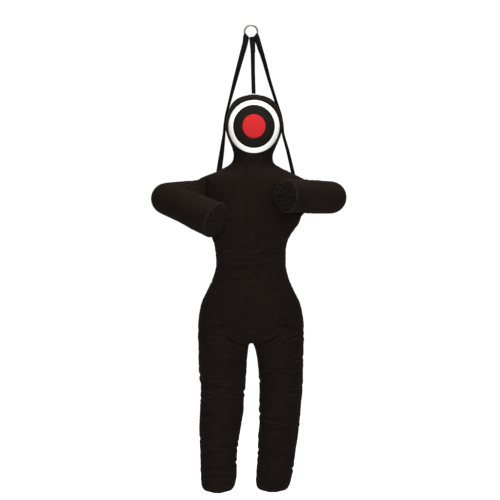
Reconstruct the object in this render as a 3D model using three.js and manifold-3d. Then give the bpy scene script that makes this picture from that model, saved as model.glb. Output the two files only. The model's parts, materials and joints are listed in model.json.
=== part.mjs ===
// Hanging grappling dummy: a stuffed canvas figure on three webbing straps and a steel ring.
//
// Millimetres, +Z up. The dummy faces -Y and its own left side is +X. The origin is the point
// where a hook bears on the inside of the ring, so the whole figure hangs below it.
//
// Every soft part is a canvas cover (a shell) around its own stuffing (the fill). Limbs meet in
// ball-and-socket ends: the outer limb carries the ball, and the inner one is cut back for it.

import * as THREE from 'three';
import { mergeVertices } from 'three/addons/utils/BufferGeometryUtils.js';
import Module from 'manifold-3d';

const wasm = await Module();
wasm.setup();

// ---------------------------------------------------------------- driving dimensions

const GAP = 0.3; // between pieces that touch
const COVER = 3; // canvas with its lining
const PATCH = 2; // webbing and reinforcement patches
const JOINT_GAP = 4; // room around a limb's ball in its socket

const RING_WIRE = 8;
const RING_MEAN = 58; // diameter of the wire's centreline

const STRAP_WIDTH = 25;
const STRAP_THICK = 2.4;
const LOOP_SPREAD = 50; // degrees between neighbouring strap loops round the ring

const BODY_Y = 25; // the body's middle plane, set back so that its weight hangs under the ring

const HEAD_X = 12; // the crown strap and the head's turning axis
const CROWN_Z = -306;
const NECK_Z = -618;
const TARGET_Z = -449;
const TARGET_X = 13;
const TARGET_RADII = [52.5, 94.5, 116.5]; // red disc, black ring, white ring
const TARGET_THICK = 1.5;

const HIP_Z = -1392;
const CROTCH_Z = -1415;
const KNEE_Z = -1650;
const SOLE_Z = -2089;
const HIP_SWING = [-20, 50]; // degrees back and forward
const HIP_WIDEN = 9; // extra room at each end of the hip's ball
const KNEE_SWING = [0, 60];
const KNEE_WIDEN = 12;

const SHOULDER = { x: 235, y: 8, z: -748, radius: 74 };
const SHOULDER_SWING = [-15, 12]; // degrees back and forward
const ELBOW_RADIUS = 72;
const UPPER_ARM_RADIUS = 74; // half way along
const ELBOW_SWING = [-25, 2]; // degrees open and closed
const BALL_MOUTH = { back: 80, reach: 30, radius: 60 }; // opening in a cover's ball end
const BALL_OPEN_SHARE = 0.7; // a leg's ball is open above this share of its height

const END_ROUND = 30; // radius round the rim of a hand or foot

// Sides of the round sections, a multiple of four where front and back differ.
const BODY_SIDES = 16;
const LEG_SIDES = 14;
const ARM_SIDES = 12;
const WIRE_SIDES = 8;
const WIRE_STEPS = 24;

const ZIP = { top: -750, bottom: -1063, tape: 14, chain: 6.4, sliderZ: -768 };

// ---------------------------------------------------------------- materials

const material = (color, roughness, metalness = 0) =>
  new THREE.MeshStandardMaterial({ color, roughness, metalness });

const CANVAS = material(0x2a221d, 0.9);
const CANVAS_DARK = material(0x1f1a17, 0.9);
const WEBBING = material(0x0b0b0c, 0.85);
const STUFFING = material(0x8d8a84, 0.95);
const STEEL = material(0xc9cccf, 0.18, 1);
const WHITE_PRINT = material(0xf6f3ee, 0.5);
const BLACK_PRINT = material(0x15140f, 0.55);
const RED_PRINT = material(0xc52829, 0.5);
const ZIP_TAPE = material(0x141416, 0.9);
const ZIP_METAL = material(0x6d6a63, 0.4, 1);

// ---------------------------------------------------------------- shape helpers

const vec = (x, y, z) => new THREE.Vector3(x, y, z);
const power = (v, exponent) => Math.sign(v) * Math.abs(v) ** exponent;
const AXIS_X = vec(1, 0, 0);
const AXIS_Y = vec(0, 1, 0);
const AXIS_Z = vec(0, 0, 1);
const DOWN = vec(0, 0, -1);

// A closed skin through a row of rings with equal point counts, with a fan over each end.
function loft(rings) {
  const sides = rings[0].length;
  const points = rings.flat();
  const indices = [];
  for (let r = 0; r + 1 < rings.length; r++) {
    for (let i = 0; i < sides; i++) {
      const j = (i + 1) % sides;
      const [a, b, c, d] = [r * sides + i, r * sides + j, (r + 1) * sides + i, (r + 1) * sides + j];
      indices.push(a, b, d, a, d, c);
    }
  }
  const addFan = (ring, start, flip) => {
    const middle = ring.reduce((sum, p) => sum.add(p), vec(0, 0, 0)).divideScalar(sides);
    const m = points.push(middle) - 1;
    for (let i = 0; i < sides; i++) {
      const j = (i + 1) % sides;
      indices.push(m, start + (flip ? i : j), start + (flip ? j : i));
    }
  };
  addFan(rings[0], 0, false);
  addFan(rings.at(-1), (rings.length - 1) * sides, true);
  const geometry = new THREE.BufferGeometry().setFromPoints(points);
  geometry.setIndex(indices);
  return outward(geometry);
}

// Turns the faces over if they point inwards.
function outward(geometry) {
  const p = geometry.attributes.position;
  const index = geometry.index.array;
  let volume = 0;
  for (let i = 0; i < index.length; i += 3) {
    const [a, b, c] = [0, 1, 2].map((k) => vec(0, 0, 0).fromBufferAttribute(p, index[i + k]));
    volume += a.dot(b.cross(c));
  }
  if (volume < 0) geometry.setIndex(Array.from(index).reverse());
  return geometry;
}

// An oval ring in the plane of `across` and `along`, squarer as `square` rises above 2.
function oval(centre, across, along, halfAcross, halfAlong, sides, square = 2) {
  const ring = [];
  for (let i = 0; i < sides; i++) {
    const angle = (2 * Math.PI * i) / sides;
    ring.push(
      centre
        .clone()
        .addScaledVector(across, halfAcross * power(Math.cos(angle), 2 / square))
        .addScaledVector(along, halfAlong * power(Math.sin(angle), 2 / square)),
    );
  }
  return ring;
}

// A level section of the body, whose front and back have their own depth and squareness.
function level(z, half, front, back, { x = 0, sides = BODY_SIDES, square = 2.4, squareFront = square } = {}) {
  const ring = [];
  for (let i = 0; i < sides; i++) {
    const angle = (2 * Math.PI * i) / sides;
    const inFront = i > sides / 2;
    const n = inFront ? squareFront : square;
    const depth = inFront ? front : back;
    const px = x + half * power(Math.cos(angle), 2 / n);
    ring.push(vec(px, BODY_Y + depth * power(Math.sin(angle), 2 / n), z));
  }
  return ring;
}

// Moves every point along its own normal, so a shell has an even wall.
function offset(geometry, distance) {
  const moved = mergeVertices(geometry.clone(), 1e-3);
  moved.computeVertexNormals();
  const { position, normal } = moved.attributes;
  for (let i = 0; i < position.count; i++) {
    const p = vec(0, 0, 0).fromBufferAttribute(position, i);
    const n = vec(0, 0, 0).fromBufferAttribute(normal, i);
    p.addScaledVector(n, distance);
    position.setXYZ(i, p.x, p.y, p.z);
  }
  moved.deleteAttribute('normal');
  return moved;
}

function solid(geometry) {
  const bare = geometry.clone();
  bare.deleteAttribute('normal');
  bare.deleteAttribute('uv');
  const merged = mergeVertices(bare, 1e-3);
  return new wasm.Manifold(
    new wasm.Mesh({
      numProp: 3,
      vertProperties: new Float32Array(merged.attributes.position.array),
      triVerts: new Uint32Array(merged.index.array),
    }),
  );
}

const cut = (body, ...tools) => tools.reduce((left, tool) => left.subtract(tool), body);
const join = (...bodies) => bodies.reduce((all, body) => all.add(body));

function boxSolid(low, high) {
  const size = high.clone().sub(low);
  const centre = high.clone().add(low).multiplyScalar(0.5);
  return solid(new THREE.BoxGeometry(...size.toArray()).translate(...centre.toArray()));
}

// A cylinder whose axis runs along `direction` from `centre`, by `reach` each way.
function rodSolid(centre, direction, radius, reach, sides = 24) {
  const geometry = new THREE.CylinderGeometry(radius, radius, 2 * reach, sides);
  geometry.applyQuaternion(new THREE.Quaternion().setFromUnitVectors(AXIS_Y, direction));
  return solid(geometry.translate(...centre.toArray()));
}

const group = new THREE.Group();

function addNode(name, body, look) {
  const mesh = body.getMesh();
  const geometry = new THREE.BufferGeometry();
  geometry.setAttribute('position', new THREE.BufferAttribute(mesh.vertProperties, 3));
  geometry.setIndex(new THREE.BufferAttribute(mesh.triVerts, 1));
  geometry.computeVertexNormals();
  const node = new THREE.Mesh(geometry, look);
  node.name = name;
  group.add(node);
}

// ---------------------------------------------------------------- ball-and-socket ends

// Everything that a limb passes through as it swings: its ball, and a wedge from one limit of
// its travel to the other. `direction` is the limb's, at rest, and angles are about `axis`.
function sweptSpace({ pivot, axis, direction, radius, halfLength, low, high, reach, halfHeight }) {
  const side = axis.clone().cross(direction).normalize();
  const forward = side.clone().cross(axis);
  const place = new THREE.Matrix4().makeBasis(forward, side, axis).setPosition(pivot);
  const ball = new THREE.SphereGeometry(radius, 20, 12);
  ball.rotateX(Math.PI / 2).scale(1, 1, halfLength / radius);
  const edge = (degrees, sign) => {
    const a = THREE.MathUtils.degToRad(degrees);
    const along = new THREE.Vector2(Math.cos(a), Math.sin(a));
    const touch = new THREE.Vector2(-Math.sin(a), Math.cos(a)).multiplyScalar(sign * radius);
    return [touch, touch.clone().addScaledVector(along, reach)];
  };
  const [highTouch, highFar] = edge(high, 1);
  const [lowTouch, lowFar] = edge(low, -1);
  const outline = new THREE.Shape([new THREE.Vector2(0, 0), lowTouch, lowFar, highFar, highTouch]);
  const wedge = new THREE.ExtrudeGeometry(outline, { depth: 2 * halfHeight, bevelEnabled: false });
  wedge.translate(0, 0, -halfHeight);
  return join(solid(ball.applyMatrix4(place)), solid(wedge.applyMatrix4(place)));
}

// The cover and the fill of one soft part. `opened` is taken from the cover alone, and
// `sockets` from both.
function softPart(skin, { opened = [], sockets = [] } = {}) {
  const outer = solid(skin);
  const shell = cut(outer, solid(offset(skin, -COVER)));
  const fill = solid(offset(skin, -COVER - GAP));
  return { outer, shell, cover: cut(shell, ...opened, ...sockets), fill: cut(fill, ...sockets) };
}

// The round canvas panel sewn into the flat end of a hand or foot, `facing` outwards.
function endPanel(centre, facing, holeRadius) {
  const middle = centre.clone().addScaledVector(facing, -COVER / 2);
  return rodSolid(middle, facing, holeRadius - GAP, COVER / 2, 16);
}

// Rings of a round rim, from the straight side to the flat end, as [distance short of the end,
// inset].
const rimSteps = [0, 1, 2, 3].map((k) => {
  const a = (k * Math.PI) / 6;
  return [END_ROUND * (1 - Math.sin(a)), END_ROUND * (1 - Math.cos(a))];
});

// ---------------------------------------------------------------- ring and straps

const RING_CENTRE = vec(0, 0, -(RING_MEAN - RING_WIRE) / 2);

function ringTube(wireRadius) {
  const torus = new THREE.TorusGeometry(RING_MEAN / 2, wireRadius, WIRE_SIDES, WIRE_STEPS);
  return solid(torus.rotateX(Math.PI / 2).translate(...RING_CENTRE.toArray()));
}

addNode('hanging_ring', ringTube(RING_WIRE / 2), STEEL);

// The point of the wire's centreline at `degrees` round from the bottom, towards +X.
function onRing(degrees) {
  const a = THREE.MathUtils.degToRad(degrees);
  return RING_CENTRE.clone().add(vec(Math.sin(a), 0, -Math.cos(a)).multiplyScalar(RING_MEAN / 2));
}

// The part of a strap that wraps the wire, before the wire's own room is taken out.
function loopSleeve(degrees) {
  const radius = RING_WIRE / 2 + GAP + STRAP_THICK;
  const reach = THREE.MathUtils.radToDeg(STRAP_WIDTH / 2 / (RING_MEAN / 2)) - 0.8;
  const rings = [-1, 0, 1].map((share) => {
    const at = degrees + share * reach;
    const outwards = onRing(at).sub(RING_CENTRE).normalize();
    return oval(onRing(at), outwards, AXIS_Y, radius, radius, 10);
  });
  return solid(loft(rings));
}

// A flat strap through `stations` [point, turn]. Turn 0 shows its full width to the front, and
// 90 shows its edge.
function ribbon(stations) {
  const rings = stations.map(([point, turn], i) => {
    const before = stations[Math.max(i - 1, 0)][0];
    const after = stations[Math.min(i + 1, stations.length - 1)][0];
    const run = after.clone().sub(before).normalize();
    const a = THREE.MathUtils.degToRad(turn);
    const flat = vec(Math.cos(a), Math.sin(a), 0);
    flat.addScaledVector(run, -flat.dot(run)).normalize();
    const through = run.clone().cross(flat).normalize();
    const [w, t] = [STRAP_WIDTH / 2, STRAP_THICK / 2];
    const corners = [[-w, -t], [w, -t], [w, t], [-w, t]];
    return corners.map(([u, v]) => point.clone().addScaledVector(flat, u).addScaledVector(through, v));
  });
  return solid(loft(rings));
}

// Points spread evenly over the straight run between two strap stations, with the turn eased.
function between([from, turnFrom], [to, turnTo], steps) {
  return Array.from({ length: steps }, (_, k) => {
    const t = (k + 1) / steps;
    const eased = t * t * (3 - 2 * t);
    return [from.clone().lerp(to, t), turnFrom + (turnTo - turnFrom) * eased];
  });
}

const wireRoom = ringTube(RING_WIRE / 2 + GAP);

function strap(loopDegrees, startX, route, ...clear) {
  const start = [vec(startX, 0, onRing(loopDegrees).z - RING_WIRE / 2 - 1), 0];
  const stations = [start];
  for (const [stop, steps] of route) stations.push(...between(stations.at(-1), stop, steps));
  return cut(join(loopSleeve(loopDegrees), ribbon(stations)), wireRoom, ...clear);
}

// ---------------------------------------------------------------- head

// Sections from the neck up: height, half width, depth in front and behind.
const headSections = [
  [NECK_Z + GAP / 2, 91, 76, 74, 2.2],
  [-590, 89, 78, 72, 2.2],
  [-545, 99, 94, 90, 3],
  [-500, 117, 104, 104, 3.6],
  [-450, 127, 107, 108, 3.6],
  [-405, 122, 106, 106, 3.6],
  [-352, 106, 98, 96, 3.2],
  [-325, 81, 80, 78, 2.8],
  [CROWN_Z, 42, 40, 40, 2.4],
];
const headSkin = loft(
  headSections.map(([z, half, front, back, squareFront]) =>
    level(z, half, front, back, { x: HEAD_X, square: 2.4, squareFront }),
  ),
);
const headOpening = boxSolid(vec(-60, BODY_Y - 60, NECK_Z - 5), vec(80, BODY_Y + 60, NECK_Z + 5));
const head = softPart(headSkin, { opened: [headOpening] });
const FAR = 3000;
const frontHalf = boxSolid(vec(-FAR, -FAR, -FAR), vec(FAR, BODY_Y - GAP / 2, FAR));
const backHalf = boxSolid(vec(-FAR, BODY_Y + GAP / 2, -FAR), vec(FAR, FAR, FAR));
addNode('head_cover_front', head.cover.intersect(frontHalf), CANVAS);
addNode('head_cover_back', head.cover.intersect(backHalf), CANVAS);
addNode('head_fill', head.fill, STUFFING);

// The printed target: a disc and two rings that lie on the face.
const targetLayer = cut(
  solid(offset(headSkin, GAP + TARGET_THICK)),
  solid(offset(headSkin, GAP)),
).intersect(frontHalf);
const targetRod = (radius) => rodSolid(vec(TARGET_X, BODY_Y - 150, TARGET_Z), AXIS_Y, radius, 140, 32);
const [redRadius, blackRadius, whiteRadius] = TARGET_RADII;
addNode('target_red_disc', targetLayer.intersect(targetRod(redRadius - GAP / 2)), RED_PRINT);
addNode(
  'target_black_ring',
  cut(targetLayer.intersect(targetRod(blackRadius - GAP / 2)), targetRod(redRadius + GAP / 2)),
  BLACK_PRINT,
);
addNode(
  'target_white_ring',
  cut(targetLayer.intersect(targetRod(whiteRadius)), targetRod(blackRadius + GAP / 2)),
  WHITE_PRINT,
);

// A sewn patch that lies on a skin inside the upright prism round `centre`.
function patchOn(skin, centre, halfX, halfY) {
  const layer = cut(solid(offset(skin, GAP + PATCH)), solid(offset(skin, GAP)));
  const reach = vec(halfX, halfY, 40);
  return layer.intersect(boxSolid(centre.clone().sub(reach), centre.clone().add(reach)));
}

const CROWN = vec(HEAD_X, BODY_Y, CROWN_Z);
addNode('crown_patch', patchOn(headSkin, CROWN, 24, 24), WEBBING);

// ---------------------------------------------------------------- limb paths

const sideName = (side) => (side > 0 ? 'left' : 'right');

// Arm joints, from the body's middle plane. The right forearm droops a little.
const armPoints = {
  left: { elbow: vec(350, -100, -770), hand: vec(135, -290, -771), handRadius: 71 },
  right: { elbow: vec(-370, -96, -776), hand: vec(-140, -230, -880), handRadius: 77 },
};
const atBody = (p) => vec(p.x, p.y + BODY_Y, p.z);

// Leg joints and widths. Each section is [z, x, half width, half depth].
const legSections = {
  left: {
    hip: [HIP_Z, 128, 109, 113],
    thigh: [[-1496, 130, 103, 108]],
    knee: [KNEE_Z, 129, 97, 100],
    shin: [[-1730, 126, 96, 98], [-1855, 117, 89, 91]],
    ankle: [-1999, 102, 82, 86],
    sole: [SOLE_Z + 2, 98, 78, 84],
  },
  right: {
    hip: [HIP_Z, -128, 109, 113],
    thigh: [[-1496, -130, 107, 110]],
    knee: [KNEE_Z, -134, 97, 100],
    shin: [[-1730, -134, 97, 98], [-1855, -145, 90, 91]],
    ankle: [-1999, -148, 83, 86],
    sole: [SOLE_Z - 2, -149, 79, 84],
  },
};

// The opening in the top of a leg part's cover, where the stuffing goes in.
function topOpening([z, x, half, depth]) {
  const [reachX, reachY] = [2 * half, 2 * depth];
  const low = vec(x - reachX, BODY_Y - reachY, z + depth * BALL_OPEN_SHARE);
  return boxSolid(low, vec(x + reachX, BODY_Y + reachY, z + reachY));
}

// A ball's rings, from its top down to the joint's own level.
function ballRings([z, x, half, depth], sides) {
  return [0.16, 0.4, 0.7].map((share) => {
    const a = (share * Math.PI) / 2;
    const [rise, scale] = [depth * Math.cos(a), Math.sin(a)];
    return oval(vec(x, BODY_Y, z + rise), AXIS_X, AXIS_Y, half * scale, depth * scale, sides);
  });
}

const legRing = ([z, x, half, depth], inset = 0) =>
  oval(vec(x, BODY_Y, z), AXIS_X, AXIS_Y, half - inset, depth - inset, LEG_SIDES);

function legSocket([z, x, half, depth], [low, high], axisSign, widen) {
  return sweptSpace({
    pivot: vec(x, BODY_Y, z),
    axis: vec(axisSign, 0, 0),
    direction: DOWN,
    radius: depth + JOINT_GAP,
    halfLength: half + widen,
    low,
    high,
    reach: 260,
    halfHeight: half + widen,
  });
}

// ---------------------------------------------------------------- torso

// Sections from the neck down: height, half width, depth in front and behind.
const torsoSections = [
  [NECK_Z - GAP / 2, 94, 76, 74],
  [-634, 126, 86, 82],
  [-652, 178, 95, 92],
  [-672, 226, 103, 99],
  [-702, 244, 111, 103],
  [-748, 248, 117, 105],
  [-800, 244, 119, 105],
  [-845, 225, 118, 105],
  [-903, 193, 111, 105],
  [-965, 156, 102, 105],
  [-1065, 153, 101, 105],
  [-1120, 163, 105, 107],
  [-1185, 194, 112, 114],
  [-1250, 223, 118, 121],
  [-1345, 237, 121, 125],
  [-1392, 226, 112, 116],
  [CROTCH_Z, 200, 84, 88],
];
const torsoSkin = loft(torsoSections.map(([z, half, front, back]) => level(z, half, front, back)));

const shoulderAt = (side) => vec(side * SHOULDER.x, BODY_Y + SHOULDER.y, SHOULDER.z);
const flatten = (v) => vec(v.x, v.y, 0).normalize();

function shoulderSocket(side) {
  const pivot = shoulderAt(side);
  const elbow = atBody(armPoints[sideName(side)].elbow);
  return sweptSpace({
    pivot,
    axis: vec(0, 0, -side),
    direction: flatten(elbow.clone().sub(pivot)),
    radius: SHOULDER.radius + JOINT_GAP,
    halfLength: SHOULDER.radius + JOINT_GAP,
    low: SHOULDER_SWING[0],
    high: SHOULDER_SWING[1],
    reach: 160,
    halfHeight: SHOULDER.radius + JOINT_GAP,
  });
}

const torsoSockets = [1, -1].flatMap((side) => [
  shoulderSocket(side),
  legSocket(legSections[sideName(side)].hip, HIP_SWING, -1, HIP_WIDEN),
]);
const neckOpening = boxSolid(vec(-60, BODY_Y - 60, NECK_Z - 8), vec(80, BODY_Y + 60, NECK_Z + 8));
const torso = softPart(torsoSkin, { opened: [neckOpening], sockets: torsoSockets });
const leftHalf = boxSolid(vec(GAP / 2, -FAR, -FAR), vec(FAR, FAR, FAR));
const rightHalf = boxSolid(vec(-FAR, -FAR, -FAR), vec(-GAP / 2, FAR, FAR));
const torsoBack = torso.cover.intersect(backHalf);
addNode('torso_cover_front', torso.cover.intersect(frontHalf), CANVAS);
addNode('torso_cover_back_left', torsoBack.intersect(leftHalf), CANVAS);
addNode('torso_cover_back_right', torsoBack.intersect(rightHalf), CANVAS);
addNode('torso_fill', torso.fill, STUFFING);

// ---------------------------------------------------------------- zip in the back seam

const BACK_Y = BODY_Y + 105; // the back is flat along the zip

const backBox = (x0, x1, z0, z1, from, to) => boxSolid(vec(x0, BACK_Y + from, z0), vec(x1, BACK_Y + to, z1));
const tapeIn = ZIP.chain / 2 + GAP;
for (const side of [1, -1]) {
  const [x0, x1] = [side * tapeIn, side * (tapeIn + ZIP.tape)].sort((a, b) => a - b);
  const tape = backBox(x0, x1, ZIP.bottom, ZIP.top, GAP, GAP + 1.2);
  addNode(`zip_tape_${sideName(side)}`, tape, ZIP_TAPE);
}
const halfChain = ZIP.chain / 2;
addNode('zip_teeth', backBox(-halfChain, halfChain, ZIP.bottom, ZIP.top, GAP, GAP + 2.2), ZIP_METAL);

// The slider's plate rides on the teeth, and its bridge holds the pull's top bar.
const PLATE = { from: 2.8, to: 5, halfWidth: 5.5, halfHeight: 8 };
const BRIDGE = { halfWidth: 1.5, halfHeight: 6, wall: 1.2, top: 9.4 };
const sliderBox = (halfX, low, high, from, to) =>
  backBox(-halfX, halfX, ZIP.sliderZ + low, ZIP.sliderZ + high, from, to);
const plate = sliderBox(PLATE.halfWidth, -PLATE.halfHeight, PLATE.halfHeight, PLATE.from, PLATE.to);
const { halfWidth: bw, halfHeight: bh, wall, top: bridgeTop } = BRIDGE;
const bridge = cut(
  sliderBox(bw, -bh, bh, PLATE.to - 0.5, bridgeTop),
  sliderBox(bw + 1, -bh + wall, bh - wall, PLATE.to, bridgeTop - wall),
);
addNode('zip_slider', join(plate, bridge), ZIP_METAL);

// A flat tab with a window: the bar above the window turns under the bridge.
const BAR_Y = 6.6;
const BAR = 0.8;
const pull = cut(
  sliderBox(4, -27, BAR, BAR_Y - BAR, BAR_Y + BAR),
  sliderBox(bw + 0.8, -7.4, -BAR, BAR_Y - 2, BAR_Y + 2),
  rodSolid(vec(0, BACK_Y + BAR_Y, ZIP.sliderZ - 22), AXIS_Y, 2, 4, 12),
);
addNode('zip_pull', pull, ZIP_METAL);

// ---------------------------------------------------------------- arms

// A tube along a straight limb with a ball at its start. Each stop is [distance, radius].
function armSkin(start, end, ballRadius, stops) {
  const run = end.clone().sub(start).normalize();
  const across = flatten(run.clone().cross(AXIS_Z)).normalize();
  const up = across.clone().cross(run).normalize();
  const ringAt = (distance, radius) =>
    oval(start.clone().addScaledVector(run, distance), across, up, radius, radius, ARM_SIDES);
  const ball = [0.16, 0.42, 0.72].map((share) => {
    const a = (share * Math.PI) / 2;
    return ringAt(-ballRadius * Math.cos(a), ballRadius * Math.sin(a));
  });
  return loft([...ball, ...stops.map(([distance, radius]) => ringAt(distance, radius))]);
}

// The opening in the ball end of an arm part's cover, behind its pivot.
function ballMouth(pivot, run) {
  const middle = pivot.clone().addScaledVector(run, -BALL_MOUTH.back);
  return rodSolid(middle, run, BALL_MOUTH.radius, BALL_MOUTH.reach, 16);
}

for (const side of [1, -1]) {
  const name = sideName(side);
  const { elbow: elbowRaw, hand: handRaw, handRadius } = armPoints[name];
  const [shoulder, elbow, hand] = [shoulderAt(side), atBody(elbowRaw), atBody(handRaw)];
  const upperLength = elbow.distanceTo(shoulder);
  const foreRun = hand.clone().sub(elbow).normalize();
  const elbowSocket = sweptSpace({
    pivot: elbow,
    axis: vec(0, 0, -side),
    direction: flatten(foreRun),
    radius: ELBOW_RADIUS + JOINT_GAP,
    halfLength: ELBOW_RADIUS + JOINT_GAP,
    low: ELBOW_SWING[0],
    high: ELBOW_SWING[1],
    reach: 220,
    halfHeight: 110,
  });
  const upperSkin = armSkin(shoulder, elbow, SHOULDER.radius, [
    [0, SHOULDER.radius],
    [upperLength * 0.5, UPPER_ARM_RADIUS],
    [upperLength, ELBOW_RADIUS],
  ]);
  const upperRun = elbow.clone().sub(shoulder).normalize();
  const upperMouth = ballMouth(shoulder, upperRun);
  const upper = softPart(upperSkin, { opened: [upperMouth], sockets: [elbowSocket] });
  addNode(`upper_arm_cover_${name}`, upper.cover, CANVAS);
  addNode(`upper_arm_fill_${name}`, upper.fill, STUFFING);

  const foreLength = hand.distanceTo(elbow);
  const foreSkin = armSkin(elbow, hand, ELBOW_RADIUS, [
    [0, ELBOW_RADIUS],
    [foreLength * 0.5, (ELBOW_RADIUS + handRadius) / 2 - 2],
    ...rimSteps.map(([short, inset]) => [foreLength - short, handRadius - inset]),
  ]);
  const panelRadius = handRadius - END_ROUND;
  const endHole = rodSolid(hand, foreRun, panelRadius, 20, 16);
  const fore = softPart(foreSkin, { opened: [ballMouth(elbow, foreRun), endHole] });
  addNode(`forearm_cover_${name}`, fore.cover, CANVAS);
  addNode(`forearm_fill_${name}`, fore.fill, STUFFING);
  addNode(`hand_panel_${name}`, endPanel(hand, foreRun, panelRadius), CANVAS_DARK);
}

// ---------------------------------------------------------------- legs

for (const side of [1, -1]) {
  const name = sideName(side);
  const { hip, thigh, knee, shin, ankle, sole } = legSections[name];
  const below = [knee[0] - 40, ...knee.slice(1)];
  const thighSkin = loft([...ballRings(hip, LEG_SIDES), ...[hip, ...thigh, knee, below].map((s) => legRing(s))]);
  const kneeSocket = legSocket(knee, KNEE_SWING, 1, KNEE_WIDEN);
  const upper = softPart(thighSkin, { opened: [topOpening(hip)], sockets: [kneeSocket] });
  addNode(`thigh_cover_${name}`, upper.cover, CANVAS);
  addNode(`thigh_fill_${name}`, upper.fill, STUFFING);

  const [soleZ, soleX, soleHalf, soleDepth] = sole;
  const rim = rimSteps.map(([short, inset]) => legRing([soleZ + short, soleX, soleHalf, soleDepth], inset));
  const shinSkin = loft([
    ...ballRings(knee, LEG_SIDES),
    ...[knee, ...shin, ankle].map((s) => legRing(s)),
    ...rim,
  ]);
  const panelRadius = soleHalf - END_ROUND;
  const soleCentre = vec(soleX, BODY_Y, soleZ);
  const soleHole = rodSolid(soleCentre, DOWN, panelRadius, 20, 16);
  const lower = softPart(shinSkin, { opened: [topOpening(knee), soleHole] });
  addNode(`shin_cover_${name}`, lower.cover, CANVAS);
  addNode(`shin_fill_${name}`, lower.fill, STUFFING);
  addNode(`sole_panel_${name}`, endPanel(soleCentre, DOWN, panelRadius), CANVAS_DARK);
}

// ---------------------------------------------------------------- straps and their patches

// The shoulder straps start flat at the ring, turn edge-on where the head pushes them out, and
// lie flatter again lower down. Each stop is [x, z, turn], and beside the head y is headSide.
const SHOULDER_ENDS = {
  left: vec(195, BODY_Y + 26, -658),
  right: vec(-146, BODY_Y + 26, -642),
};
const headSide = BODY_Y + 24;
const besideHead = {
  left: [[123, -345, 84], [136, -392, 84], [142, -440, 84], [143, -470, 84]],
  right: [[-98, -345, 88], [-111, -392, 88], [-118, -440, 88], [-119, -470, 88]],
};
const endTurn = { left: 57, right: 6 };
const roomOverPatch = (skin) => solid(offset(skin, PATCH + 2 * GAP));
const headRoom = solid(offset(headSkin, GAP));
const crownEnd = vec(HEAD_X, BODY_Y, CROWN_Z - 4);
const crownRoute = [[[crownEnd, 45], 4]];
addNode('strap_crown', strap(0, 0, crownRoute, roomOverPatch(headSkin)), WEBBING);

for (const side of [1, -1]) {
  const name = sideName(side);
  const end = SHOULDER_ENDS[name];
  addNode(`shoulder_patch_${name}`, patchOn(torsoSkin, end, 22, 24), WEBBING);
  const [first, ...rest] = besideHead[name].map(([x, z, turn]) => [vec(x, headSide, z), turn]);
  const sewnEnd = [end.clone().add(vec(0, 0, -24)), endTurn[name]];
  const route = [[first, 5], ...rest.map((stop) => [stop, 1]), [sewnEnd, 4]];
  const body = strap(side * LOOP_SPREAD, side * 26, route, roomOverPatch(torsoSkin), headRoom);
  addNode(`strap_shoulder_${name}`, body, WEBBING);
}

export default group;
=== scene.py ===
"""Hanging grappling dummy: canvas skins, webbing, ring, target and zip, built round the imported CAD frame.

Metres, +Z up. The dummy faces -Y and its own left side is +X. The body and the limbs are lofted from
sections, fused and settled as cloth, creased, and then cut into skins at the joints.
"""

import json
import math

import bmesh
import bpy
import numpy as np
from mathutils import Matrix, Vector
from mathutils.bvhtree import BVHTree


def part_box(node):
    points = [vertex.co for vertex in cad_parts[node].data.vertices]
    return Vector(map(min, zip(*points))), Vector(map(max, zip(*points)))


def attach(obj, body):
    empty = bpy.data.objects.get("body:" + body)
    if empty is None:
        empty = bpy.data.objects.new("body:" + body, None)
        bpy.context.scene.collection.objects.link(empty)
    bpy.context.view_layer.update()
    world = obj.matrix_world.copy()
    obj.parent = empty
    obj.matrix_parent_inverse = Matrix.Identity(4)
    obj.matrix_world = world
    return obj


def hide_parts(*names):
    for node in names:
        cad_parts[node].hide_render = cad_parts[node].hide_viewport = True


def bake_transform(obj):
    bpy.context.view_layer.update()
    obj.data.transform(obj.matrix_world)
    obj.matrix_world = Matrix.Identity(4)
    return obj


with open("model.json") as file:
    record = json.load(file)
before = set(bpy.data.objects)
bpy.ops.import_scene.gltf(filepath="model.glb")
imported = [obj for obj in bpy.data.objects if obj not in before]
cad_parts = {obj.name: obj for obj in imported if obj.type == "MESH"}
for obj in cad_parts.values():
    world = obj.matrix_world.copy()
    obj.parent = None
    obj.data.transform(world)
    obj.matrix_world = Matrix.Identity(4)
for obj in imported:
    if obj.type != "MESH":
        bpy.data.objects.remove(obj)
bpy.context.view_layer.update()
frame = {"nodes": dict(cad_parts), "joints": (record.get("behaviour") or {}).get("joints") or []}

MM = 0.001
SIDES = ("left", "right")
SIGN = {"left": 1, "right": -1}


def arr(*values):
    return np.array(values, float)


def unit(v):
    return np.asarray(v, float) / np.linalg.norm(v)


def box_centre(node):
    low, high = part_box(node)
    return np.array((low + high) / 2)


# ---------------------------------------------------------------- places, all from the frame

PIVOT = {j["name"]: np.array(j["pos_m"]) for j in frame["joints"] if "pos_m" in j}
NECK = PIVOT["head_turn"]
MIDDLE_Y = NECK[1]
SHOULDER = {s: PIVOT[f"shoulder_{s}"] for s in SIDES}
ELBOW = {s: PIVOT[f"elbow_{s}"] for s in SIDES}
HIP = {s: PIVOT[f"hip_{s}"] for s in SIDES}
KNEE = {s: PIVOT[f"knee_{s}"] for s in SIDES}
PALM = {s: box_centre(f"hand_panel_{s}") for s in SIDES}
SOLE = {s: box_centre(f"sole_panel_{s}") for s in SIDES}
HAND_RADIUS = {"left": 73 * MM, "right": 80 * MM}
SHOULDER_BALL = 70 * MM
UPPER_ARM_RADIUS = 76 * MM
ARM_RADIUS = 72 * MM
PANEL_HALF = 1.5 * MM  # half the thickness of a hand's end panel
ARM_DROP = 14 * MM  # the arm leaves the shoulder this much below the joint
BACK_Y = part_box("zip_teeth")[0].y - 0.3 * MM

# ---------------------------------------------------------------- camera

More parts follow.
